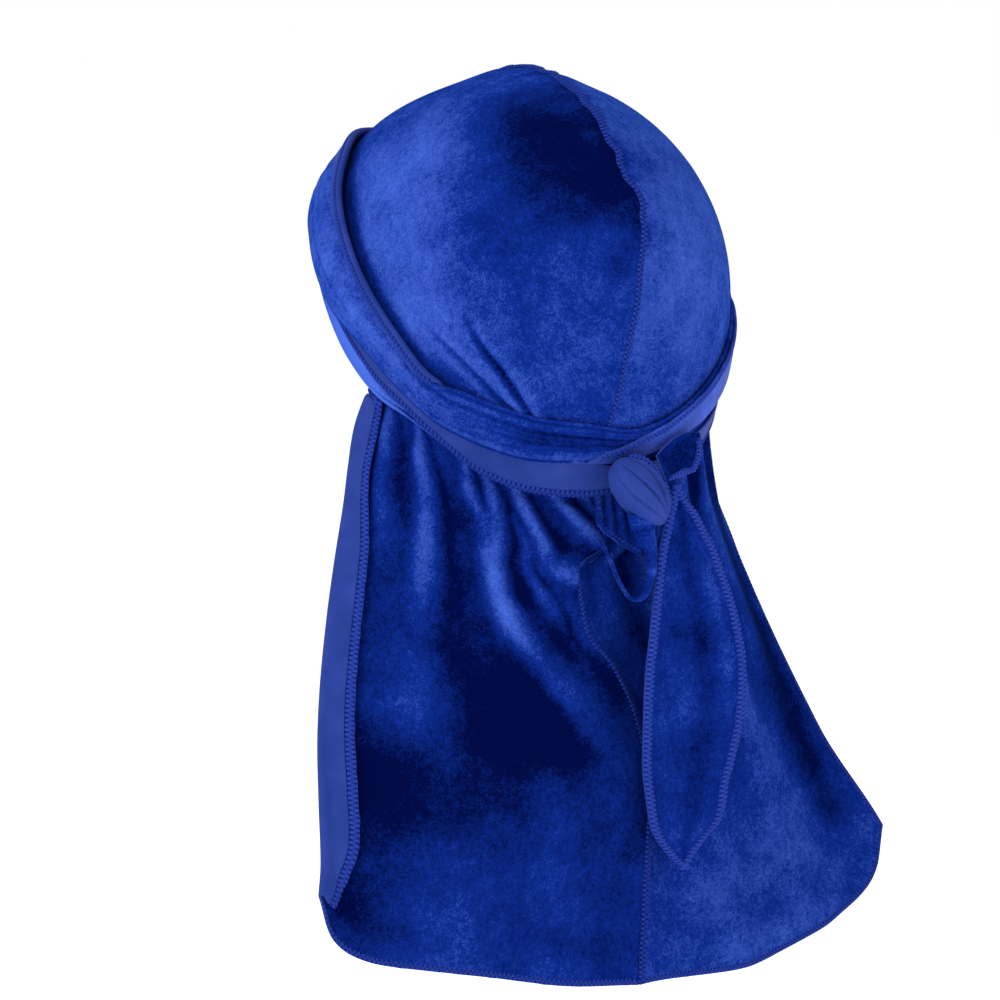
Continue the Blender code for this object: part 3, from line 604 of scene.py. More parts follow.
right_folds = (
    (((-0.03, 0.44), (0.06, 0.40), (0.18, 0.32), (0.31, 0.22), (0.45, 0.16), (0.68, 0.12),
      (0.96, 0.10)), 0.0018, 0.0050, 0.0080, 0.9),
    (((-0.03, 0.60), (0.10, 0.58), (0.24, 0.50), (0.42, 0.42), (0.66, 0.34), (1.00, 0.30)),
     0.0032, 0.0036, 0.0120, 0.5),
    (((-0.03, 0.24), (0.10, 0.20), (0.22, 0.14), (0.34, 0.06)), 0.0026, 0.0034, 0.0055, 0.8),
    (((-0.03, 0.76), (0.12, 0.76), (0.30, 0.70), (0.60, 0.66), (1.00, 0.62)),
     0.0030, 0.0030, 0.0110, 0.5),
    (((-0.03, 0.90), (0.10, 0.90), (0.26, 0.88)), 0.0024, 0.0024, 0.0050, 0.9),
)
# Places where the velvet is painted darker or lighter: (down, way), spread and change. Some are patches of
# crushed pile. The rest are painted shade in fold valleys and painted highlight on fold ridges and, on the
# right, along the side edge.
left_lie = (
    ((0.39, 0.57), 0.013, -0.42), ((0.46, 0.62), 0.014, -0.42), ((0.51, 0.73), 0.012, -0.40),
    ((0.50, 0.40), 0.016, -0.22), ((0.69, 0.22), 0.018, -0.32), ((0.64, 0.14), 0.013, -0.30),
    ((0.90, 0.08), 0.014, -0.30), ((0.62, 0.46), 0.022, -0.16), ((0.50, 0.27), 0.013, 0.14),
    ((0.59, 0.17), 0.010, 0.10), ((0.84, 0.50), 0.030, 0.07), ((0.79, 0.70), 0.020, 0.05),
    ((0.93, 0.35), 0.026, 0.08), ((0.17, 0.50), 0.007, 0.20), ((0.24, 0.545), 0.008, 0.16),
    ((0.20, 0.64), 0.006, -0.34), ((0.10, 0.78), 0.006, -0.34),
    ((0.10, 0.34), 0.010, -0.20), ((0.10, 0.14), 0.007, -0.22), ((0.28, 0.86), 0.008, -0.30),
    ((0.22, 0.42), 0.010, -0.16), ((0.36, 0.95), 0.008, -0.26), ((0.33, 0.33), 0.016, -0.14),
)
right_lie = (
    ((0.10, 0.80), 0.020, -0.22), ((0.30, 0.60), 0.024, -0.12), ((0.72, 0.28), 0.018, 0.08),
    ((0.88, 0.45), 0.030, 0.12), ((0.88, 0.80), 0.030, 0.10), ((0.88, 0.20), 0.018, 0.10),
    ((0.06, 0.23), 0.007, -0.45), ((0.13, 0.19), 0.008, -0.45), ((0.20, 0.155), 0.009, -0.45),
    ((0.28, 0.13), 0.009, -0.45), ((0.36, 0.12), 0.009, -0.45), ((0.44, 0.11), 0.009, -0.45),
    ((0.52, 0.10), 0.009, -0.45), ((0.60, 0.095), 0.009, -0.45), ((0.68, 0.09), 0.009, -0.42),
    ((0.02, 0.50), 0.009, -0.50), ((0.07, 0.47), 0.008, -0.40), ((0.30, 0.00), 0.007, 0.30),
    ((0.15, 0.02), 0.008, 0.30), ((0.50, 0.00), 0.006, 0.20),
    ((0.76, 0.085), 0.009, -0.36), ((0.84, 0.08), 0.009, -0.24), ((0.50, 0.70), 0.020, -0.10),
    ((0.12, 0.46), 0.010, -0.20),
)


def nape_height(side, turn):
    """Height where the cape leaves the crown, by side and turn from the ear."""
    return smooth_rows(SPLIT_ROWS, 1 if side > 0.0 else 2, turn) * CROWN_HEIGHT


def flat_place(way, down):
    """Place on the cape laid flat: across from its side edge and down from the nape, in metres."""
    return np.stack([way * (0.112 + 0.024 * down), down * 0.180 + 0.0 * way], -1)


def fold_relief(folds, way, down):
    """Height of the folds, and how far up a fold each place is, as a level for painted light: high on a
    ridge, low in its valleys, and lowest in the valley on the seam side, as painted shade. A fold is a bell
    across its line with a shallower valley on either side, and fades in and out along its length."""
    place = flat_place(way, down)
    height = np.zeros(place.shape[:-1])
    up = np.zeros(place.shape[:-1])
    for line, tall, wide_top, wide_end, faded in folds:
        line = np.array(line, float)
        ridge = rounded_line(flat_place(line[:, 1], line[:, 0]), 40)
        for _ in range(12):
            ridge[1:-1] = 0.25 * ridge[:-2] + 0.5 * ridge[1:-1] + 0.25 * ridge[2:]
        gap, share = along_line(place, ridge)
        at_ridge = np.interp(share, np.linspace(0.0, 1.0, len(ridge)), ridge[:, 0])
        # Side of the ridge towards the seam, where the valley is painted darker, as shadow.
        painted_shadow_side = ease(0.5 + (place[..., 0] - at_ridge) / 0.004)
        wide = wide_top + (wide_end - wide_top) * share
        strength = 1.0 - faded * ease((share - 0.35) / 0.65)
        raised = np.exp(-np.abs(gap / wide) ** 1.7) * strength
        valley = bell(gap, 2.1 * wide, wide) * strength
        height = height + tall * (raised - 0.25 * valley)
        # Painted light level: high on the ridge, low in the valleys.
        up = up + (raised - (0.12 + 0.52 * painted_shadow_side) * valley) * min(1.0, tall / 0.004)
    return height, up


def cape_inner(side, way, down, folds):
    """Inner face of the cape: from the head form at the nape to the hem, with sway and folds."""
    way, down = np.broadcast_arrays(np.clip(way, 0.0, 1.0), np.asarray(down, float))
    lifted = np.clip(-down, 0.0, None)
    hang = np.clip(down, 0.0, 1.0)
    turn = EAR_TURN + (90.0 - EAR_TURN) * way
    height = nape_height(side, turn) + lifted * (0.06 + 0.12 * ease(way / 0.12))
    top = head_form(turn, height, np.zeros_like(way))
    column = 1 if side > 0.0 else 2
    level_drop = 0.0 if side > 0.0 else 0.0046
    width = CAPE_LEFT_WIDTH if side > 0.0 else CAPE_RIGHT_WIDTH
    across = width * smooth_rows(HEM_ROWS, 1, way)
    back = CAPE_BACK * smooth_rows(HEM_ROWS, 2, way)
    nape = SPLIT_ROWS[-1][column] * CROWN_HEIGHT
    uneven = (-0.018 * np.sin(np.pi * np.minimum(1.0, 1.25 * way + 0.1)) ** 2 if side > 0.0
              else 0.030 * np.sin(np.pi * np.clip((way - 0.15) / 0.85, 0.0, 1.0)) ** 2)
    low = nape - CAPE_DROP * (smooth_rows(HEM_ROWS, 3, way) + uneven)
    spread = hang ** (CAPE_LEFT_HANG if side > 0.0 else CAPE_RIGHT_HANG)
    end = np.stack([across, back, low], -1)
    point = top + (end - top) * spread[..., None]
    point[..., 2] = top[..., 2] + (low - top[..., 2]) * hang
    drifted = head_form(seam_turn(side, turn, height), height, np.zeros_like(way))
    point = point + (drifted - top) * (1.0 - hang)[..., None]
    leave = 1.0 - np.exp(-hang / 0.06)
    relief, _ = fold_relief(folds, way, down)
    rise = ease((down + 0.012) / 0.035)
    near_seam = ease((1.0 - way) / 0.05)
    push = CAPE_SWELL * leave * (1.0 - hang) + relief * rise * (0.25 + 0.75 * near_seam)
    push = push - level_drop * leave * ease((1.0 - hang) / 0.22) * near_seam
    facing = np.radians(25.0 + 65.0 * way)
    level = np.stack([np.cos(facing), np.sin(facing), 0.0 * facing], -1)
    point = point + level * push[..., None]
    if side > 0.0:
        point[..., 0] += smooth_rows(SIDE_SWELL_ROWS, 1, hang) * ease((0.55 - way) / 0.55)
    point[..., 0] = side * point[..., 0]
    point[..., 0] += SEAM_SWAY * smooth_rows(SWAY_ROWS, 1, hang) * way ** 2.5
    point[..., 0] += side * SEAM_GAP / 2.0 * way
    return point


def cape_face(side, way, down, folds, out):
    """Point a distance out from the cape's inner face, along the normal of its two slopes there."""
    way, down = np.broadcast_arrays(np.asarray(way, float), np.asarray(down, float))
    step = 0.004
    here = cape_inner(side, way, down, folds)
    sideways = cape_inner(side, way + step, down, folds) - cape_inner(side, way - step, down, folds)
    downward = cape_inner(side, way, down + step, folds) - cape_inner(side, way, down - step, folds)
    normal = np.cross(downward, sideways) * side
    normal /= np.maximum(np.linalg.norm(normal, axis=-1, keepdims=True), 1e-12)
    return here + normal * np.asarray(out)[..., None], normal


capes = {}
for side, name, node_name, folds, lies in ((1.0, "cape_left", "panel_left", left_folds, left_lie),
                                           (-1.0, "cape_right", "panel_right", right_folds, right_lie)):
    down_line = np.concatenate([[-0.06, -0.04, -0.025, -0.012], np.linspace(0.0, 1.0, 196)])
    way_line = np.linspace(0.0, 1.0, 120)
    down, way = np.meshgrid(down_line, way_line, indexing="ij")
    tucked = -0.0030 * ease(-down / 0.03) * ease((0.16 - way) / 0.10)
    points, normal = cape_face(side, way, down, folds, PANEL_WALL + tucked)
    for _ in range(4):
        points[1:-1, 1:-1] = (0.5 * points[1:-1, 1:-1] + 0.125 * (points[:-2, 1:-1] + points[2:, 1:-1])
                              + 0.125 * (points[1:-1, :-2] + points[1:-1, 2:]))
    relief, up = fold_relief(folds, way, down)
    # Painted highlight on the fold ridges and painted shade in their valleys, weaker lower down the cape.
    painted_fold_light = 0.42 * np.clip(up, -0.6, 1.1) * (1.0 - 0.75 * ease((down - 0.5) / 0.15))
    pile_lie_and_painted_light = (0.30 - 0.05 * ease((down - 0.4) / 0.2) if side > 0.0 else 0.39 + 0.0 * down) + painted_fold_light
    flat = flat_place(way, down)
    # Crushed-pile patches, plus painted shade and highlight along the folds and the right side edge.
    for (spot_down, spot_way), spread, change in lies:
        spot = flat_place(np.array(spot_way), np.array(spot_down))
        pile_lie_and_painted_light = pile_lie_and_painted_light + change * near_spot(flat, spot, spread)
    pile_lie_and_painted_light = pile_lie_and_painted_light + 0.10 * ease((down - 0.9) / 0.1)
    capes[side] = (down_line, points, normal)
    if side > 0.0:
        roll_reach = smooth_rows(ROLL_ROWS, 1, np.clip(down_line, 0.0, 1.0))
        span = 0.112 + 0.024 * down_line
        share = np.linspace(1.0, 0.0, 18)[None, :]
        bend = 0.0007
        roll_way = share * (roll_reach / span)[:, None]
        gap = 2.0 * bend + 0.0012 * share
        under_tie = -0.0040 * ease(-down_line / 0.03)[:, None]
        roll, roll_normal = cape_face(1.0, roll_way, down_line[:, None], folds, PANEL_WALL + gap + under_tie)
        edge = points[:, 0]
        edge_out = normal[:, 0]
        edge_in = points[:, 1] - points[:, 0]
        edge_in /= np.linalg.norm(edge_in, axis=1, keepdims=True)
        sweep = np.linspace(np.pi, 0.0, 9)[1:-1][None, :]
        middle = edge + edge_out * bend
        turn_over = (middle[:, None] - edge_out[:, None] * (bend * np.cos(sweep))[..., None]
                     - edge_in[:, None] * (bend * np.sin(sweep))[..., None])
        sheet_points = np.concatenate([roll, turn_over, points], 1)
        extra = np.full((len(down_line), roll.shape[1] + turn_over.shape[1]), 0.46)
        sheet_nap_and_painted_light = np.concatenate([extra, pile_lie_and_painted_light], 1)
        roll_edge = (roll[:, 0], roll_normal[:, 0])
        sheet_points = sheet_points[:, ::-1]
        sheet_nap_and_painted_light = sheet_nap_and_painted_light[:, ::-1]
    else:
        sheet_points = points
        sheet_nap_and_painted_light = pile_lie_and_painted_light
    cape = lay_cloth(name, sheet_points, sheet_nap_and_painted_light, 0.0011, velvet, knit_back)
    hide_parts(node_name)


# Cape edges and seam
# The hem, both side edges and the middle seam of the cape are overlocked in one thread.
# The seam stands up as a thin ridge and wanders with the folds.
down_line, points, normal = capes[1.0]
hanging = down_line >= 0.0
half_cloth = 0.0005
overlock("hem_left_binding", points[-1] - normal[-1] * half_cloth, points[-2] - points[-1], normal[-1],
         0.0013, 0.00080, -0.12)
roll_line, roll_out = roll_edge
roll_inward = np.cross(roll_out, np.gradient(roll_line, axis=0))
overlock("left_edge_binding", roll_line + roll_out * half_cloth, roll_inward, roll_out,
         np.array([1.3, 1.5, 1.6, 1.7, 1.8, 2.0, 2.1, 2.1, 2.0]) * 0.001,
         np.array([0.55, 0.60, 0.60, 0.60, 0.70, 0.85, 0.90, 0.90, 0.85]) * 0.001)
down_line, points, normal = capes[-1.0]
overlock("hem_right_binding", points[-1] - normal[-1] * half_cloth, points[-2] - points[-1], normal[-1],
         0.0013, 0.00080, -0.12)
edge_inward = points[:, 1] - points[:, 0]
overlock("right_edge_binding", (points[:, 0] - normal[:, 0] * half_cloth)[hanging], edge_inward[hanging],
         normal[:, 0][hanging], 0.0013, 0.00080, -0.08)
left_side = capes[1.0][1][:, -1]
right_side = capes[-1.0][1][:, -1]
seam_line = (left_side + right_side) / 2.0 + (capes[1.0][2][:, -1] + normal[:, -1]) * 0.00015
seam_across = np.tile(np.array([-1.0, 0.0, 0.0]), (len(seam_line), 1))
seam_line = seam_line - seam_across * 0.0010
seam_width = np.array([0.5, 0.5, 0.7, 0.9, 1.0, 1.0, 1.1, 1.2, 1.3, 1.3]) * 0.001
seam_thick = np.array([0.4, 0.4, 0.5, 0.6, 0.6, 0.6, 0.7, 0.7, 0.7, 0.7]) * 0.001
cape_ridge = overlock("cape_seam_ridge", seam_line, seam_across, normal[:, -1], seam_width, seam_thick, -0.22)
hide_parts("cape_seam")


# Upper tie
# The wide tie goes once round the head as a soft velvet band. Its edges are turned in, or turned
# out so that the knitted reverse shows: above the left ear, and in a broad strip on the right.
# Turn in degrees, then the upper tie's top and low edge and the lower tie's top and low edge, as
# shares of the crown's height.
WRAP_ROWS = (
    (-90.0, 0.714, 0.392, 0.415, 0.300), (-60.0, 0.708, 0.369, 0.392, 0.245),
    (-35.0, 0.680, 0.311, 0.334, 0.161), (-20.0, 0.599, 0.230, 0.253, 0.058),
    (-10.0, 0.455, 0.092, 0.115, -0.092), (0.0, 0.288, -0.069, -0.046, -0.276),
    (10.0, 0.085, -0.207, -0.184, -0.438),
    (20.0, -0.125, -0.380, -0.357, -0.530),
    (30.0, -0.320, -0.524, -0.501, -0.640),
    (40.0, -0.388, -0.605, -0.578, -0.760),
    (50.0, -0.445, -0.662, -0.634, -0.818),
    (60.0, -0.490, -0.690, -0.670, -0.847),
    (75.0, -0.520, -0.690, -0.690, -0.864),
    (90.0, -0.547, -0.672, -0.730, -0.853),
    (105.0, -0.472, -0.598, -0.690, -0.818),
    (120.0, -0.334, -0.505, -0.611, -0.760),
    (135.0, -0.173, -0.370, -0.530, -0.668),
    (150.0, 0.012, -0.245, -0.403, -0.553),
    (165.0, 0.207, -0.140, -0.253, -0.415),
    (180.0, 0.392, -0.046, -0.092, -0.276), (200.0, 0.576, 0.173, 0.138, 0.000),
    (225.0, 0.680, 0.323, 0.311, 0.184), (250.0, 0.708, 0.380, 0.403, 0.288),
    (270.0, 0.714, 0.392, 0.415, 0.300),
)
# Which way the edges are turned by turn round the head: 1 outwards, -1 inwards.
top_turned_rows = ((-90, 1), (29, 1), (36, -1), (150, -1), (172, 1), (270, 1))
# Turn, and the width of the flap that is turned, in millimetres.
top_flap_rows = ((-90, 9.0), (-45, 13.0), (-26, 21.0), (-16, 24.0), (-9, 22.0), (0, 17.0), (10, 13.0),
                 (18, 9.0), (24, 5.0), (29, 1.8), (32, 0.4), (40, 4.0), (150, 4.0),
                 (172, 5.0), (200, 6.0), (230, 9.0), (270, 9.0))
low_turned_rows = ((-90, -1), (68, -1), (76, 0.25), (84, 1), (178, 1), (196, -1), (270, -1))
low_flap_rows = ((-90, 3.0), (68, 3.0), (73, 0.8), (78, 3.2), (84, 4.9), (92, 8.0), (100, 8.8), (110, 11.4),
                 (123, 15.0), (135, 15.6), (150, 17.0), (165, 13.0), (180, 9.0), (190, 3.0), (270, 3.0))


def straight_rows(rows, at):
    """Table of two columns read in straight lines."""
    table = np.array(rows, float)
    return np.interp(at, table[:, 0], table[:, 1])


def turned_edge(edge_height, base_out, turned, radius, flap, up, count_flap, count_bend):
    """Heights and outs of a turned edge, from the flap's free end round the bend to the base. up is 1
    for a top edge and -1 for a low one; turned is 1 outwards and -1 inwards."""
    share = np.linspace(1.0, 0.0, count_flap)[:, None]
    bend = np.linspace(0.0, np.pi, count_bend)[1:-1][:, None]
    centre = edge_height - up * radius
    flap_height = centre - up * flap * share
    flap_out = base_out + turned * 2.0 * radius + 0.0 * share
    bend_height = centre + up * radius * np.sin(bend)
    bend_out = base_out + turned * radius * (1.0 + np.cos(bend))
    return np.concatenate([flap_height, bend_height]), np.concatenate([flap_out, bend_out]), centre


tie_turn = np.linspace(-90.0, 270.0, 561)[None, :]
band_top = smooth_rows(WRAP_ROWS, 1, tie_turn) * CROWN_HEIGHT
band_low = smooth_rows(WRAP_ROWS, 2, tie_turn) * CROWN_HEIGHT
top_turned = straight_rows(top_turned_rows, tie_turn)
low_turned = straight_rows(low_turned_rows, tie_turn)
tucked_top = np.clip(-top_turned, 0.0, 1.0)
tucked_low = np.clip(-low_turned, 0.0, 1.0)
top_radius = np.abs(top_turned) * (0.00080 - 0.00025 * top_turned)
low_radius = np.abs(low_turned) * (0.00080 - 0.00025 * low_turned)
top_flap = straight_rows(top_flap_rows, tie_turn) * 0.001 * np.minimum(1.0, np.abs(top_turned) * 1.5)
low_flap = straight_rows(low_flap_rows, tie_turn) * 0.001 * np.minimum(1.0, np.abs(low_turned) * 1.5)
left_front = bell(tie_turn, -12.0, 34.0)
right_side = bell(tie_turn, 155.0, 26.0)
far_left = bell(tie_turn, -30.0, 24.0)
top_out = 0.00275 + 0.0012 * tucked_top + 0.0022 * left_front + 0.0026 * far_left - 0.0017 * right_side
low_out = 0.00345 + 0.0010 * tucked_low + 0.0012 * left_front + 0.0026 * far_left - 0.0020 * right_side
low_out = low_out + 0.0022 * bell(tie_turn, 2.0, 16.0)
at_back = bell(tie_turn, 72.0, 34.0)
head_height, head_out, top_centre = turned_edge(band_top, top_out, top_turned, top_radius, top_flap,
                                                1.0, 10, 8)
foot_height, foot_out, low_centre = turned_edge(band_low, low_out, low_turned, low_radius, low_flap,
                                                -1.0, 12, 8)
share = np.linspace(0.0, 1.0, 40)[:, None]
base_height = top_centre + (low_centre - top_centre) * share
puff = 0.0015 + 0.0020 * bell(tie_turn, 2.0, 40.0) - 0.0013 * right_side
swell = puff * np.sin(np.pi * share) ** 0.7 * (1.0 - 0.35 * np.clip(low_turned, 0.0, 1.0))
lengthwise = np.zeros_like(share + tie_turn)
# Start across the band, drift, half width, depth, and the turns where a crease starts and ends.
streak_rows = ((0.20, 0.10, 0.055, -0.55, 12.0, 105.0), (0.36, 0.05, 0.040, -0.42, 30.0, 118.0),
               (0.52, -0.05, 0.050, -0.50, 44.0, 112.0), (0.66, -0.14, 0.045, -0.36, 56.0, 108.0),
               (0.28, 0.02, 0.030, -0.30, 50.0, 100.0), (0.44, 0.09, 0.030, -0.26, 60.0, 116.0),
               (0.80, -0.05, 0.050, -0.30, 20.0, 70.0), (0.13, 0.04, 0.030, -0.30, 66.0, 112.0),
               (0.60, 0.02, 0.030, -0.30, -40.0, 26.0), (0.40, 0.02, 0.040, -0.22, -70.0, 6.0),
               (0.50, 0.05, 0.050, -0.40, 150.0, 232.0), (0.30, 0.05, 0.040, -0.30, 170.0, 258.0))
for start_share, drift, wide, deep, turn_from, turn_to in streak_rows:
    way_along = np.clip((tie_turn - turn_from) / (turn_to - turn_from), 0.0, 1.0)
    line = start_share + drift * way_along + 0.012 * np.sin(7.0 * way_along + 9.0 * start_share)
    held = np.sin(np.pi * way_along) ** 0.6
    lengthwise = lengthwise + deep * held * bell(share, line, wide)
    lengthwise = lengthwise - 0.35 * deep * held * bell(share - line, 1.9 * wide, wide)
base_out = top_out + (low_out - top_out) * share + swell + 0.0011 * lengthwise
heights = np.concatenate([head_height, base_height, foot_height[::-1]])
outs = np.concatenate([head_out, base_out, foot_out[::-1]])
tie_points = head_form(tie_turn, heights, outs)
tie_points[:, -1] = tie_points[:, 0]
# Painted shade across the middle of the band at the back of the head.
painted_back_shade = 0.34 * at_back * bell(share, 0.42, 0.36)
# Colour level of the band: creases painted darker with lighter sides, and both rolled edges painted darker,
# as shade. A painted highlight runs along the middle at the front left.
band_nap_and_painted_light = 0.60 + 0.30 * lengthwise - painted_back_shade - 0.28 * bell(share, 0.0, 0.05)
band_nap_and_painted_light = band_nap_and_painted_light - 0.35 * bell(share, 1.0, 0.05)
band_nap_and_painted_light = band_nap_and_painted_light + 0.16 * bell(tie_turn, 8.0, 26.0) * bell(share, 0.45, 0.2)
quiet = np.full((len(head_height), tie_turn.size), 0.45)
quiet_foot = np.full((len(foot_height), tie_turn.size), 0.45)
foot_shine = 0.10 + 0.42 * ease((tie_turn - 86.0) / 14.0) * ease((190.0 - tie_turn) / 20.0)
tie_shine = np.concatenate([quiet * 0.0 - 0.15, 0.0 * heights[len(quiet):len(quiet) + len(band_nap_and_painted_light)],
                            foot_shine + 0.0 * quiet_foot])
tie_nap_and_painted_light = np.concatenate([quiet, band_nap_and_painted_light, quiet_foot])
upper_tie = lay_cloth("upper_tie_band", tie_points[:, ::-1], tie_nap_and_painted_light[:, ::-1], 0.0010, velvet, knit_back,
                      tie_shine[:, ::-1])
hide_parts("upper_wrap")

turn_line = tie_turn[0]


def tie_edge(name, row, inner, from_row, turn_from, turn_to, away, half_width, half_thick, shine=0.0):
    """Binding along one row of the tie between two turns, lying away from it by a share of 1 mm and
    reaching towards the inner row."""
    part = (turn_line >= turn_from) & (turn_line <= turn_to)
    outward = (head_form(turn_line, heights[row], outs[row] + 0.001) - tie_points[row])[part]
    inward = (tie_points[inner] - tie_points[from_row])[part]
    overlock(name, tie_points[row][part] + outward * away, inward, outward, half_width, half_thick, shine)


# Row 11 lies on the bend of the top edge, and the last row is the free end of the low one.
for name, turn_from, turn_to in (("upper_tie_top_binding_left", -90.0, 31.0),
                                 ("upper_tie_top_binding_right", 176.0, 269.9)):
    tie_edge(name, 11, 7, 10, turn_from, turn_to, 1.05, 0.0013, 0.00065, -0.10)
tie_edge("upper_tie_low_binding", -1, -4, -1, 78.0, 182.0, 0.55, 0.0018, 0.00075)


# Lower tie and brow rim
# The second tie is narrower and lies reverse side out, flat and smooth, with its lower edge
# overlocked. Below it the crown's own edge shows as two thin rolled lines of cloth.
# Turn, and the height of the rim below the lower tie, in millimetres.
rim_rows = ((-90, 7.5), (-20, 9.0), (0, 9.0), (7, 8.6), (16, 5.2), (24, 2.6), (32, 1.4), (44, 0.9),
            (56, 0.0), (130, 0.0), (160, 2.0), (185, 8.0), (210, 9.0), (270, 7.5))
reverse_top = smooth_rows(WRAP_ROWS, 3, tie_turn) * CROWN_HEIGHT
rim_low = smooth_rows(WRAP_ROWS, 4, tie_turn) * CROWN_HEIGHT
reverse_low = rim_low + straight_rows(rim_rows, tie_turn) * 0.001
hidden_top = ease((tie_turn - 146.0) / 26.0) + ease((78.0 - tie_turn) / 10.0)
reverse_top = reverse_top + hidden_top * np.maximum(0.0, band_low + 0.0025 - reverse_top)
share = np.linspace(0.0, 1.0, 26)[:, None]
strip_height = reverse_top + (reverse_low - reverse_top) * share
near_knot = bell(tie_turn, 92.0, 12.0)
pinch = -0.0006 * near_knot * (bell(share, 0.45, 0.08) + bell(share, 0.7, 0.06))
strip_out = 0.00170 + 0.00045 * np.sin(np.pi * share) + pinch + 0.0004 * near_knot
strip_points = head_form(tie_turn, strip_height, strip_out)
strip_points[:, -1] = strip_points[:, 0]
lower_tie = lay_cloth("lower_tie_strip", strip_points, np.full(strip_height.shape, 0.4), 0.0009,
                      velvet, knit_back, -0.17)
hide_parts("lower_wrap")
low_line = strip_points[-1]
low_inward = strip_points[-3] - low_line
low_outward = head_form(tie_turn[0], strip_height[-1], strip_out[-1] + 0.001) - low_line
overlock("lower_tie_binding", low_line + low_outward * 0.75, low_inward, low_outward, 0.0019, 0.00075, -0.10)

share = np.linspace(0.0, 1.0, 22)[:, None]
rim_start = reverse_low + 0.0030
rim_height = rim_start + (rim_low - rim_start) * share
from_low = rim_height - rim_low
rim_out = (0.00125 + 0.0016 * bell(tie_turn, 2.0, 16.0)
           + 0.00060 * bell(from_low, 0.0008, 0.0007)
           + 0.00045 * bell(from_low, 0.0031, 0.0007)
           - 0.0004 * bell(from_low, 0.0020, 0.0005))
rim_points = head_form(tie_turn, rim_height, rim_out)
rim_points[:, -1] = rim_points[:, 0]
# Painted highlight where the rim stands out, on its two rolled lines and at the front, and painted shade in
# the dip between the rolls.
rim_painted_light = 0.32 + 0.30 * (rim_out - 0.00125) / 0.0006
brow_rim = lay_cloth("brow_rim", rim_points[:, ::-1], rim_painted_light[:, ::-1], 0.0009, velvet, knit_back)
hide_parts("lower_wrap")


# Knot
# The ties cross at the nape in one flat knot: a smooth, reverse-side-out turn of tie that runs
# from upper left to lower right, creased along its length.
KNOT_MIDDLE = np.array([0.0002, 0.0945, -0.0735])
KNOT_LONG = 0.0168
KNOT_SHORT = 0.0090
KNOT_DEEP = 0.0082
lean = np.array([-0.65, 0.0, -0.76])
crosswise = np.array([0.76, 0.0, -0.65])
station = np.linspace(0.0, np.pi, 70)[:, None]
around = np.linspace(0.0, 2.0 * np.pi, 121)[None, :]
lengthways = -np.cos(station)
reached = (1.0 + lengthways) / 2.0
girth = reached ** 0.50 * (1.0 - reached) ** 0.60 / 0.466
crease = np.zeros_like(station + around)
# Angle round the knot, width, depth and bend of each crease.
knot_creases = ((2.30, 0.10, 1.5, -0.30), (1.75, 0.055, 1.0, 0.20), (1.05, 0.060, 0.6, 0.42),
                (4.20, 0.12, 0.8, 0.0), (5.10, 0.12, 0.8, 0.0))
for middle_angle, wide, deep, bend in knot_creases:
    bent = middle_angle + bend * lengthways
    crease = crease - deep * bell(around, bent, wide)
    crease = crease + 0.35 * deep * bell(around - bent, 2.4 * wide, 1.6 * wide)
flattened = (np.abs(np.cos(around)) ** 2.6 + np.abs(np.sin(around)) ** 2.6) ** (-1.0 / 2.6)
swell = (1.0 + 0.18 * crease * np.sin(station) ** 0.5) * flattened
point = (KNOT_MIDDLE + lean * (KNOT_LONG * lengthways + 0.0 * around)[..., None]
         + crosswise * (KNOT_SHORT * girth * swell * np.cos(around))[..., None]
         + np.array([0.0, 1.0, 0.0]) * (KNOT_DEEP * girth * swell * np.sin(around))[..., None])
point[:, -1] = point[:, 0]
point[0] = point[0].mean(0)
point[-1] = point[-1].mean(0)
# The knot's knit is painted darker in its creases and lighter beside them, as shade and highlight.
knot = lay_closed("tied_knot", point, 0.4, knit_back, 0.2 * crease - 0.04)
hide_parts("knot")
binding_line = point[10:-6, 54]
overlock("knot_edge_binding", binding_line, np.tile([-0.80, -0.25, 0.60], (len(binding_line), 1)),
         np.tile([-0.35, 0.93, 0.1], (len(binding_line), 1)), 0.0012, 0.0007)


# Long tie end
# One tie end hangs from the knot over the cape, widening and then cut to a point. Both edges are
# overlocked so tightly that they roll into thin ropes.
# Down from END_TOP, then x of the left and right edge, in millimetres.
END_ROWS = ((0.0, -15.5, -17.5), (3.0, -13.7, -18.8), (6.0, -13.2, -20.4), (9.0, -12.5, -22.9),
            (13.0, -11.3, -26.0),
            (21.0, -9.2, -30.6), (27.0, -7.7, -34.0), (35.0, -6.1, -37.2), (42.0, -5.2, -40.0),
            (50.0, -4.2, -42.8), (62.0, -2.6, -45.8), (73.0, -0.9, -47.6), (86.0, 0.1, -47.4),
            (100.0, 0.8, -45.4), (113.0, 1.2, -41.6), (122.0, 0.2, -38.6), (131.0, -1.1, -37.0),
            (137.0, -2.4, -34.4), (143.0, -6.0, -27.6), (149.5, -11.6, -21.6), (154.5, -17.4, -18.6))
END_TOP = -0.0705
END_LENGTH = 0.1545
down = np.linspace(0.0, 1.0, 150)[:, None]
across = np.linspace(0.0, 1.0, 50)[None, :]
left = smooth_rows(END_ROWS, 1, down * END_LENGTH * 1000.0) * 0.001
right = smooth_rows(END_ROWS, 2, down * END_LENGTH * 1000.0) * 0.001
end_x = left + (right - left) * across
end_z = END_TOP - END_LENGTH * down + 0.0 * across
end_y = 0.0955 + 0.0055 * down - 0.0022 * np.sin(np.pi * across) * np.sin(np.pi * np.minimum(1.0, 1.1 * down))
curl_line = 0.62 + 0.20 * np.sin(2.6 * down)
curl = bell(across, curl_line, 0.10) * ease((down - 0.18) / 0.1) * ease((0.62 - down) / 0.12)
end_y = end_y + 0.0016 * curl
end_points = np.stack([end_x, end_y, end_z], -1)
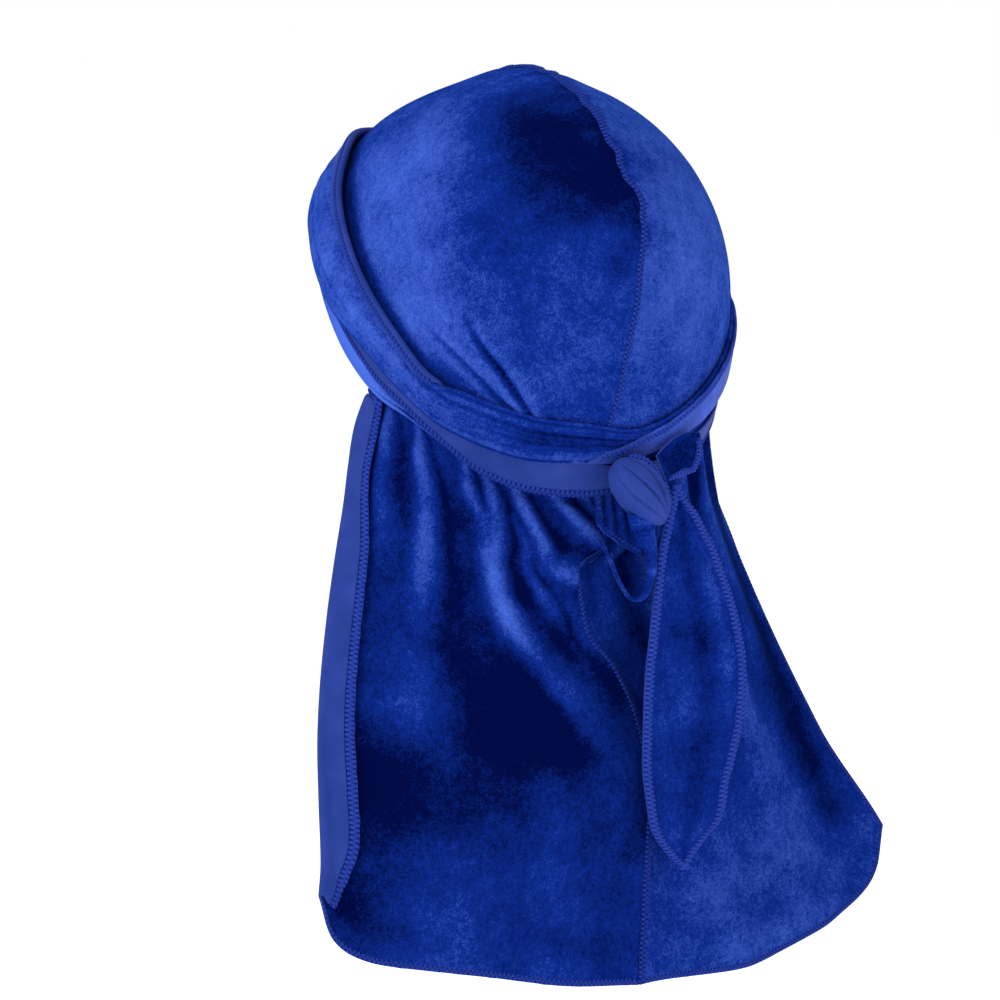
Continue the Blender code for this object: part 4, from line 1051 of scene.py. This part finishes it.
# Painted highlight on the raised curl and painted shade just beside it. The ripple below is a tone that
# varies along the end.
end_nap_and_painted_light = 0.37 + 0.12 * curl - 0.16 * bell(across - curl_line, -0.2, 0.12)
end_nap_and_painted_light = end_nap_and_painted_light + 0.12 * ripple(down, 2.0, 3.0) * np.sin(3.0 * across) + 0.0 * across
long_end = lay_cloth("long_tie_end_cloth", end_points[:, ::-1], end_nap_and_painted_light[:, ::-1], 0.0010, velvet, knit_back)
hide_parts("long_tie_end")
backwards = np.array([0.0, 1.0, 0.0])
left_edge = end_points[:, 0] - backwards * half_cloth
right_edge = end_points[:, -1] - backwards * half_cloth
facing = np.tile(backwards, (len(left_edge), 1))
overlock("long_end_left_binding", left_edge, np.tile([-1.0, 0.0, 0.0], (len(left_edge), 1)), facing,
         0.0019, 0.0013)
overlock("long_end_right_binding", right_edge, np.tile([1.0, 0.0, 0.0], (len(right_edge), 1)), facing,
         0.0019, 0.0013)


# Short tie end
# The other tie end stands out to the right of the knot, folded over into a small pocket with overlocked
# edges. The pocket is painted dark, and darkest in its hollow, as shade.
share = np.linspace(0.0, 1.0, 36)[:, None, None]
drop = np.linspace(0.0, 1.0, 30)[None, :, None]
near_top = np.array([-0.0055, 0.0975, -0.0590])
near_low = np.array([-0.0095, 0.0985, -0.0692])
far_top = np.array([-0.0278, 0.0935, -0.0515])
far_low = np.array([-0.0252, 0.0945, -0.0668])
pocket = (near_top * (1 - share) * (1 - drop) + near_low * (1 - share) * drop
          + far_top * share * (1 - drop) + far_low * share * drop)
dish = np.sin(np.pi * share) * np.sin(np.pi * drop)
pocket = pocket - np.array([0.0, 0.0030, 0.0]) * dish
pocket = pocket + np.array([0.0, 0.0, 0.0030]) * np.sin(np.pi * share) * (1.0 - drop)
pocket = pocket + np.array([-0.0022, 0.0, 0.0]) * np.sin(np.pi * drop) * share
# Painted shade: the pocket is dark all over and darker towards the middle of its hollow.
pocket_nap_and_painted_shade = 0.22 - 0.12 * dish[..., 0]
short_end = lay_cloth("short_tie_end_cloth", pocket, pocket_nap_and_painted_shade, 0.0010, velvet, knit_back)
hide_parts("short_tie_end")
outline = np.concatenate([pocket[-1, 2:], pocket[::-1, -1][1:]])
middle = pocket.reshape(-1, 3).mean(0)
towards = middle - outline
towards[:, 1] = 0.0
overlock("short_end_binding", outline, towards, np.tile([-0.15, 1.0, 0.1], (len(outline), 1)),
         0.0014, 0.0011)


# Tie loop
# Below the knot the bunched tie makes a small open loop, laid back towards the cape. Above it a
# tuck of cloth with an overlocked edge closes the gap under the tie.
# x, z and half width along the loop, in millimetres.
LOOP_LINE = ((0.2, -81.0, 7.2), (-0.5, -88.5, 5.4), (-3.6, -96.0, 3.1), (-4.0, -103.3, 2.4),
             (-2.6, -110.4, 1.8), (0.0, -114.5, 1.2), (3.6, -115.6, 0.8), (7.1, -113.8, 0.7),
             (10.6, -108.8, 0.6), (14.8, -100.4, 0.6), (19.1, -92.3, 0.5))
line = rounded_line(LOOP_LINE, 130) * 0.001
tangent = np.gradient(line[:, :2], axis=0)
tangent /= np.linalg.norm(tangent, axis=1, keepdims=True)
aside = np.stack([-tangent[:, 1], tangent[:, 0]], -1)
across = np.linspace(-1.0, 1.0, 16)[None, :, None]
loop_xz = line[:, None, :2] + aside[:, None, :] * line[:, None, 2:] * across
crinkle = ripple(np.linspace(0.0, 1.0, 130), 4.0, 6.0)[:, None]
loop_y = 0.0962 + 0.0022 * (1.0 - across[..., 0] ** 2) + 0.0003 * crinkle
loop_points = np.stack([loop_xz[..., 0], loop_y, loop_xz[..., 1]], -1)
towards_head = np.array([0.577, 1.0, 0.081])
laid_back = -0.015 * ease((np.linspace(0.0, 1.0, 130) - 0.50) / 0.50)[:, None, None]
loop_points = loop_points + laid_back * towards_head
# Painted highlight on the crinkles that stand out and painted shade in their dips. One side of the loop is
# painted darker than the other, as shade.
loop_nap_and_painted_light = 0.42 + 0.14 * crinkle - 0.12 * across[..., 0] + 0.0 * loop_y
loop = lay_cloth("tie_loop_cloth", loop_points, loop_nap_and_painted_light, 0.0010, velvet, velvet)
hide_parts("tie_loop")

# x and z along the tuck's low edge, in millimetres.
TUCK_LINE = ((18.6, -85.5), (15.1, -89.2), (9.5, -93.1), (3.9, -96.6), (-2.5, -99.7))
tuck_line = rounded_line(TUCK_LINE, 60) * 0.001
rise = np.linspace(0.0, 1.0, 24)[None, :, None]
tuck_top = np.stack([np.linspace(0.0170, 0.0010, 60), np.linspace(-0.0740, -0.0760, 60)], -1)
tuck_xz = tuck_line[:, None] * (1.0 - rise) + tuck_top[:, None] * rise
tuck_folds = np.sin(2.0 * np.pi * 3.5 * np.linspace(0.0, 1.0, 60))[:, None] * (0.15 + 0.85 * rise[..., 0])
tuck_y = 0.0925 - 0.004 * rise[..., 0] + 0.0011 * tuck_folds
tuck_points = np.stack([tuck_xz[..., 0], tuck_y, tuck_xz[..., 1]], -1)
laid_back = -0.0045 - 0.0050 * rise - 0.0040 * np.linspace(1.0, 0.0, 60)[:, None, None]
tuck_points = tuck_points + laid_back * towards_head
# Painted highlight on the raised folds of the tuck, and painted shade in the dips between them.
tuck = lay_cloth("tie_loop_tuck", tuck_points, 0.34 + 0.22 * tuck_folds, 0.0010, velvet, velvet)
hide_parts("tie_loop")
tuck_edge = tuck_points[:, 0]
overlock("tie_loop_binding", tuck_edge, tuck_points[:, 4] - tuck_points[:, 0],
         np.tile([0.0, 1.0, 0.0], (len(tuck_edge), 1)), 0.0015, 0.0010, -0.05)
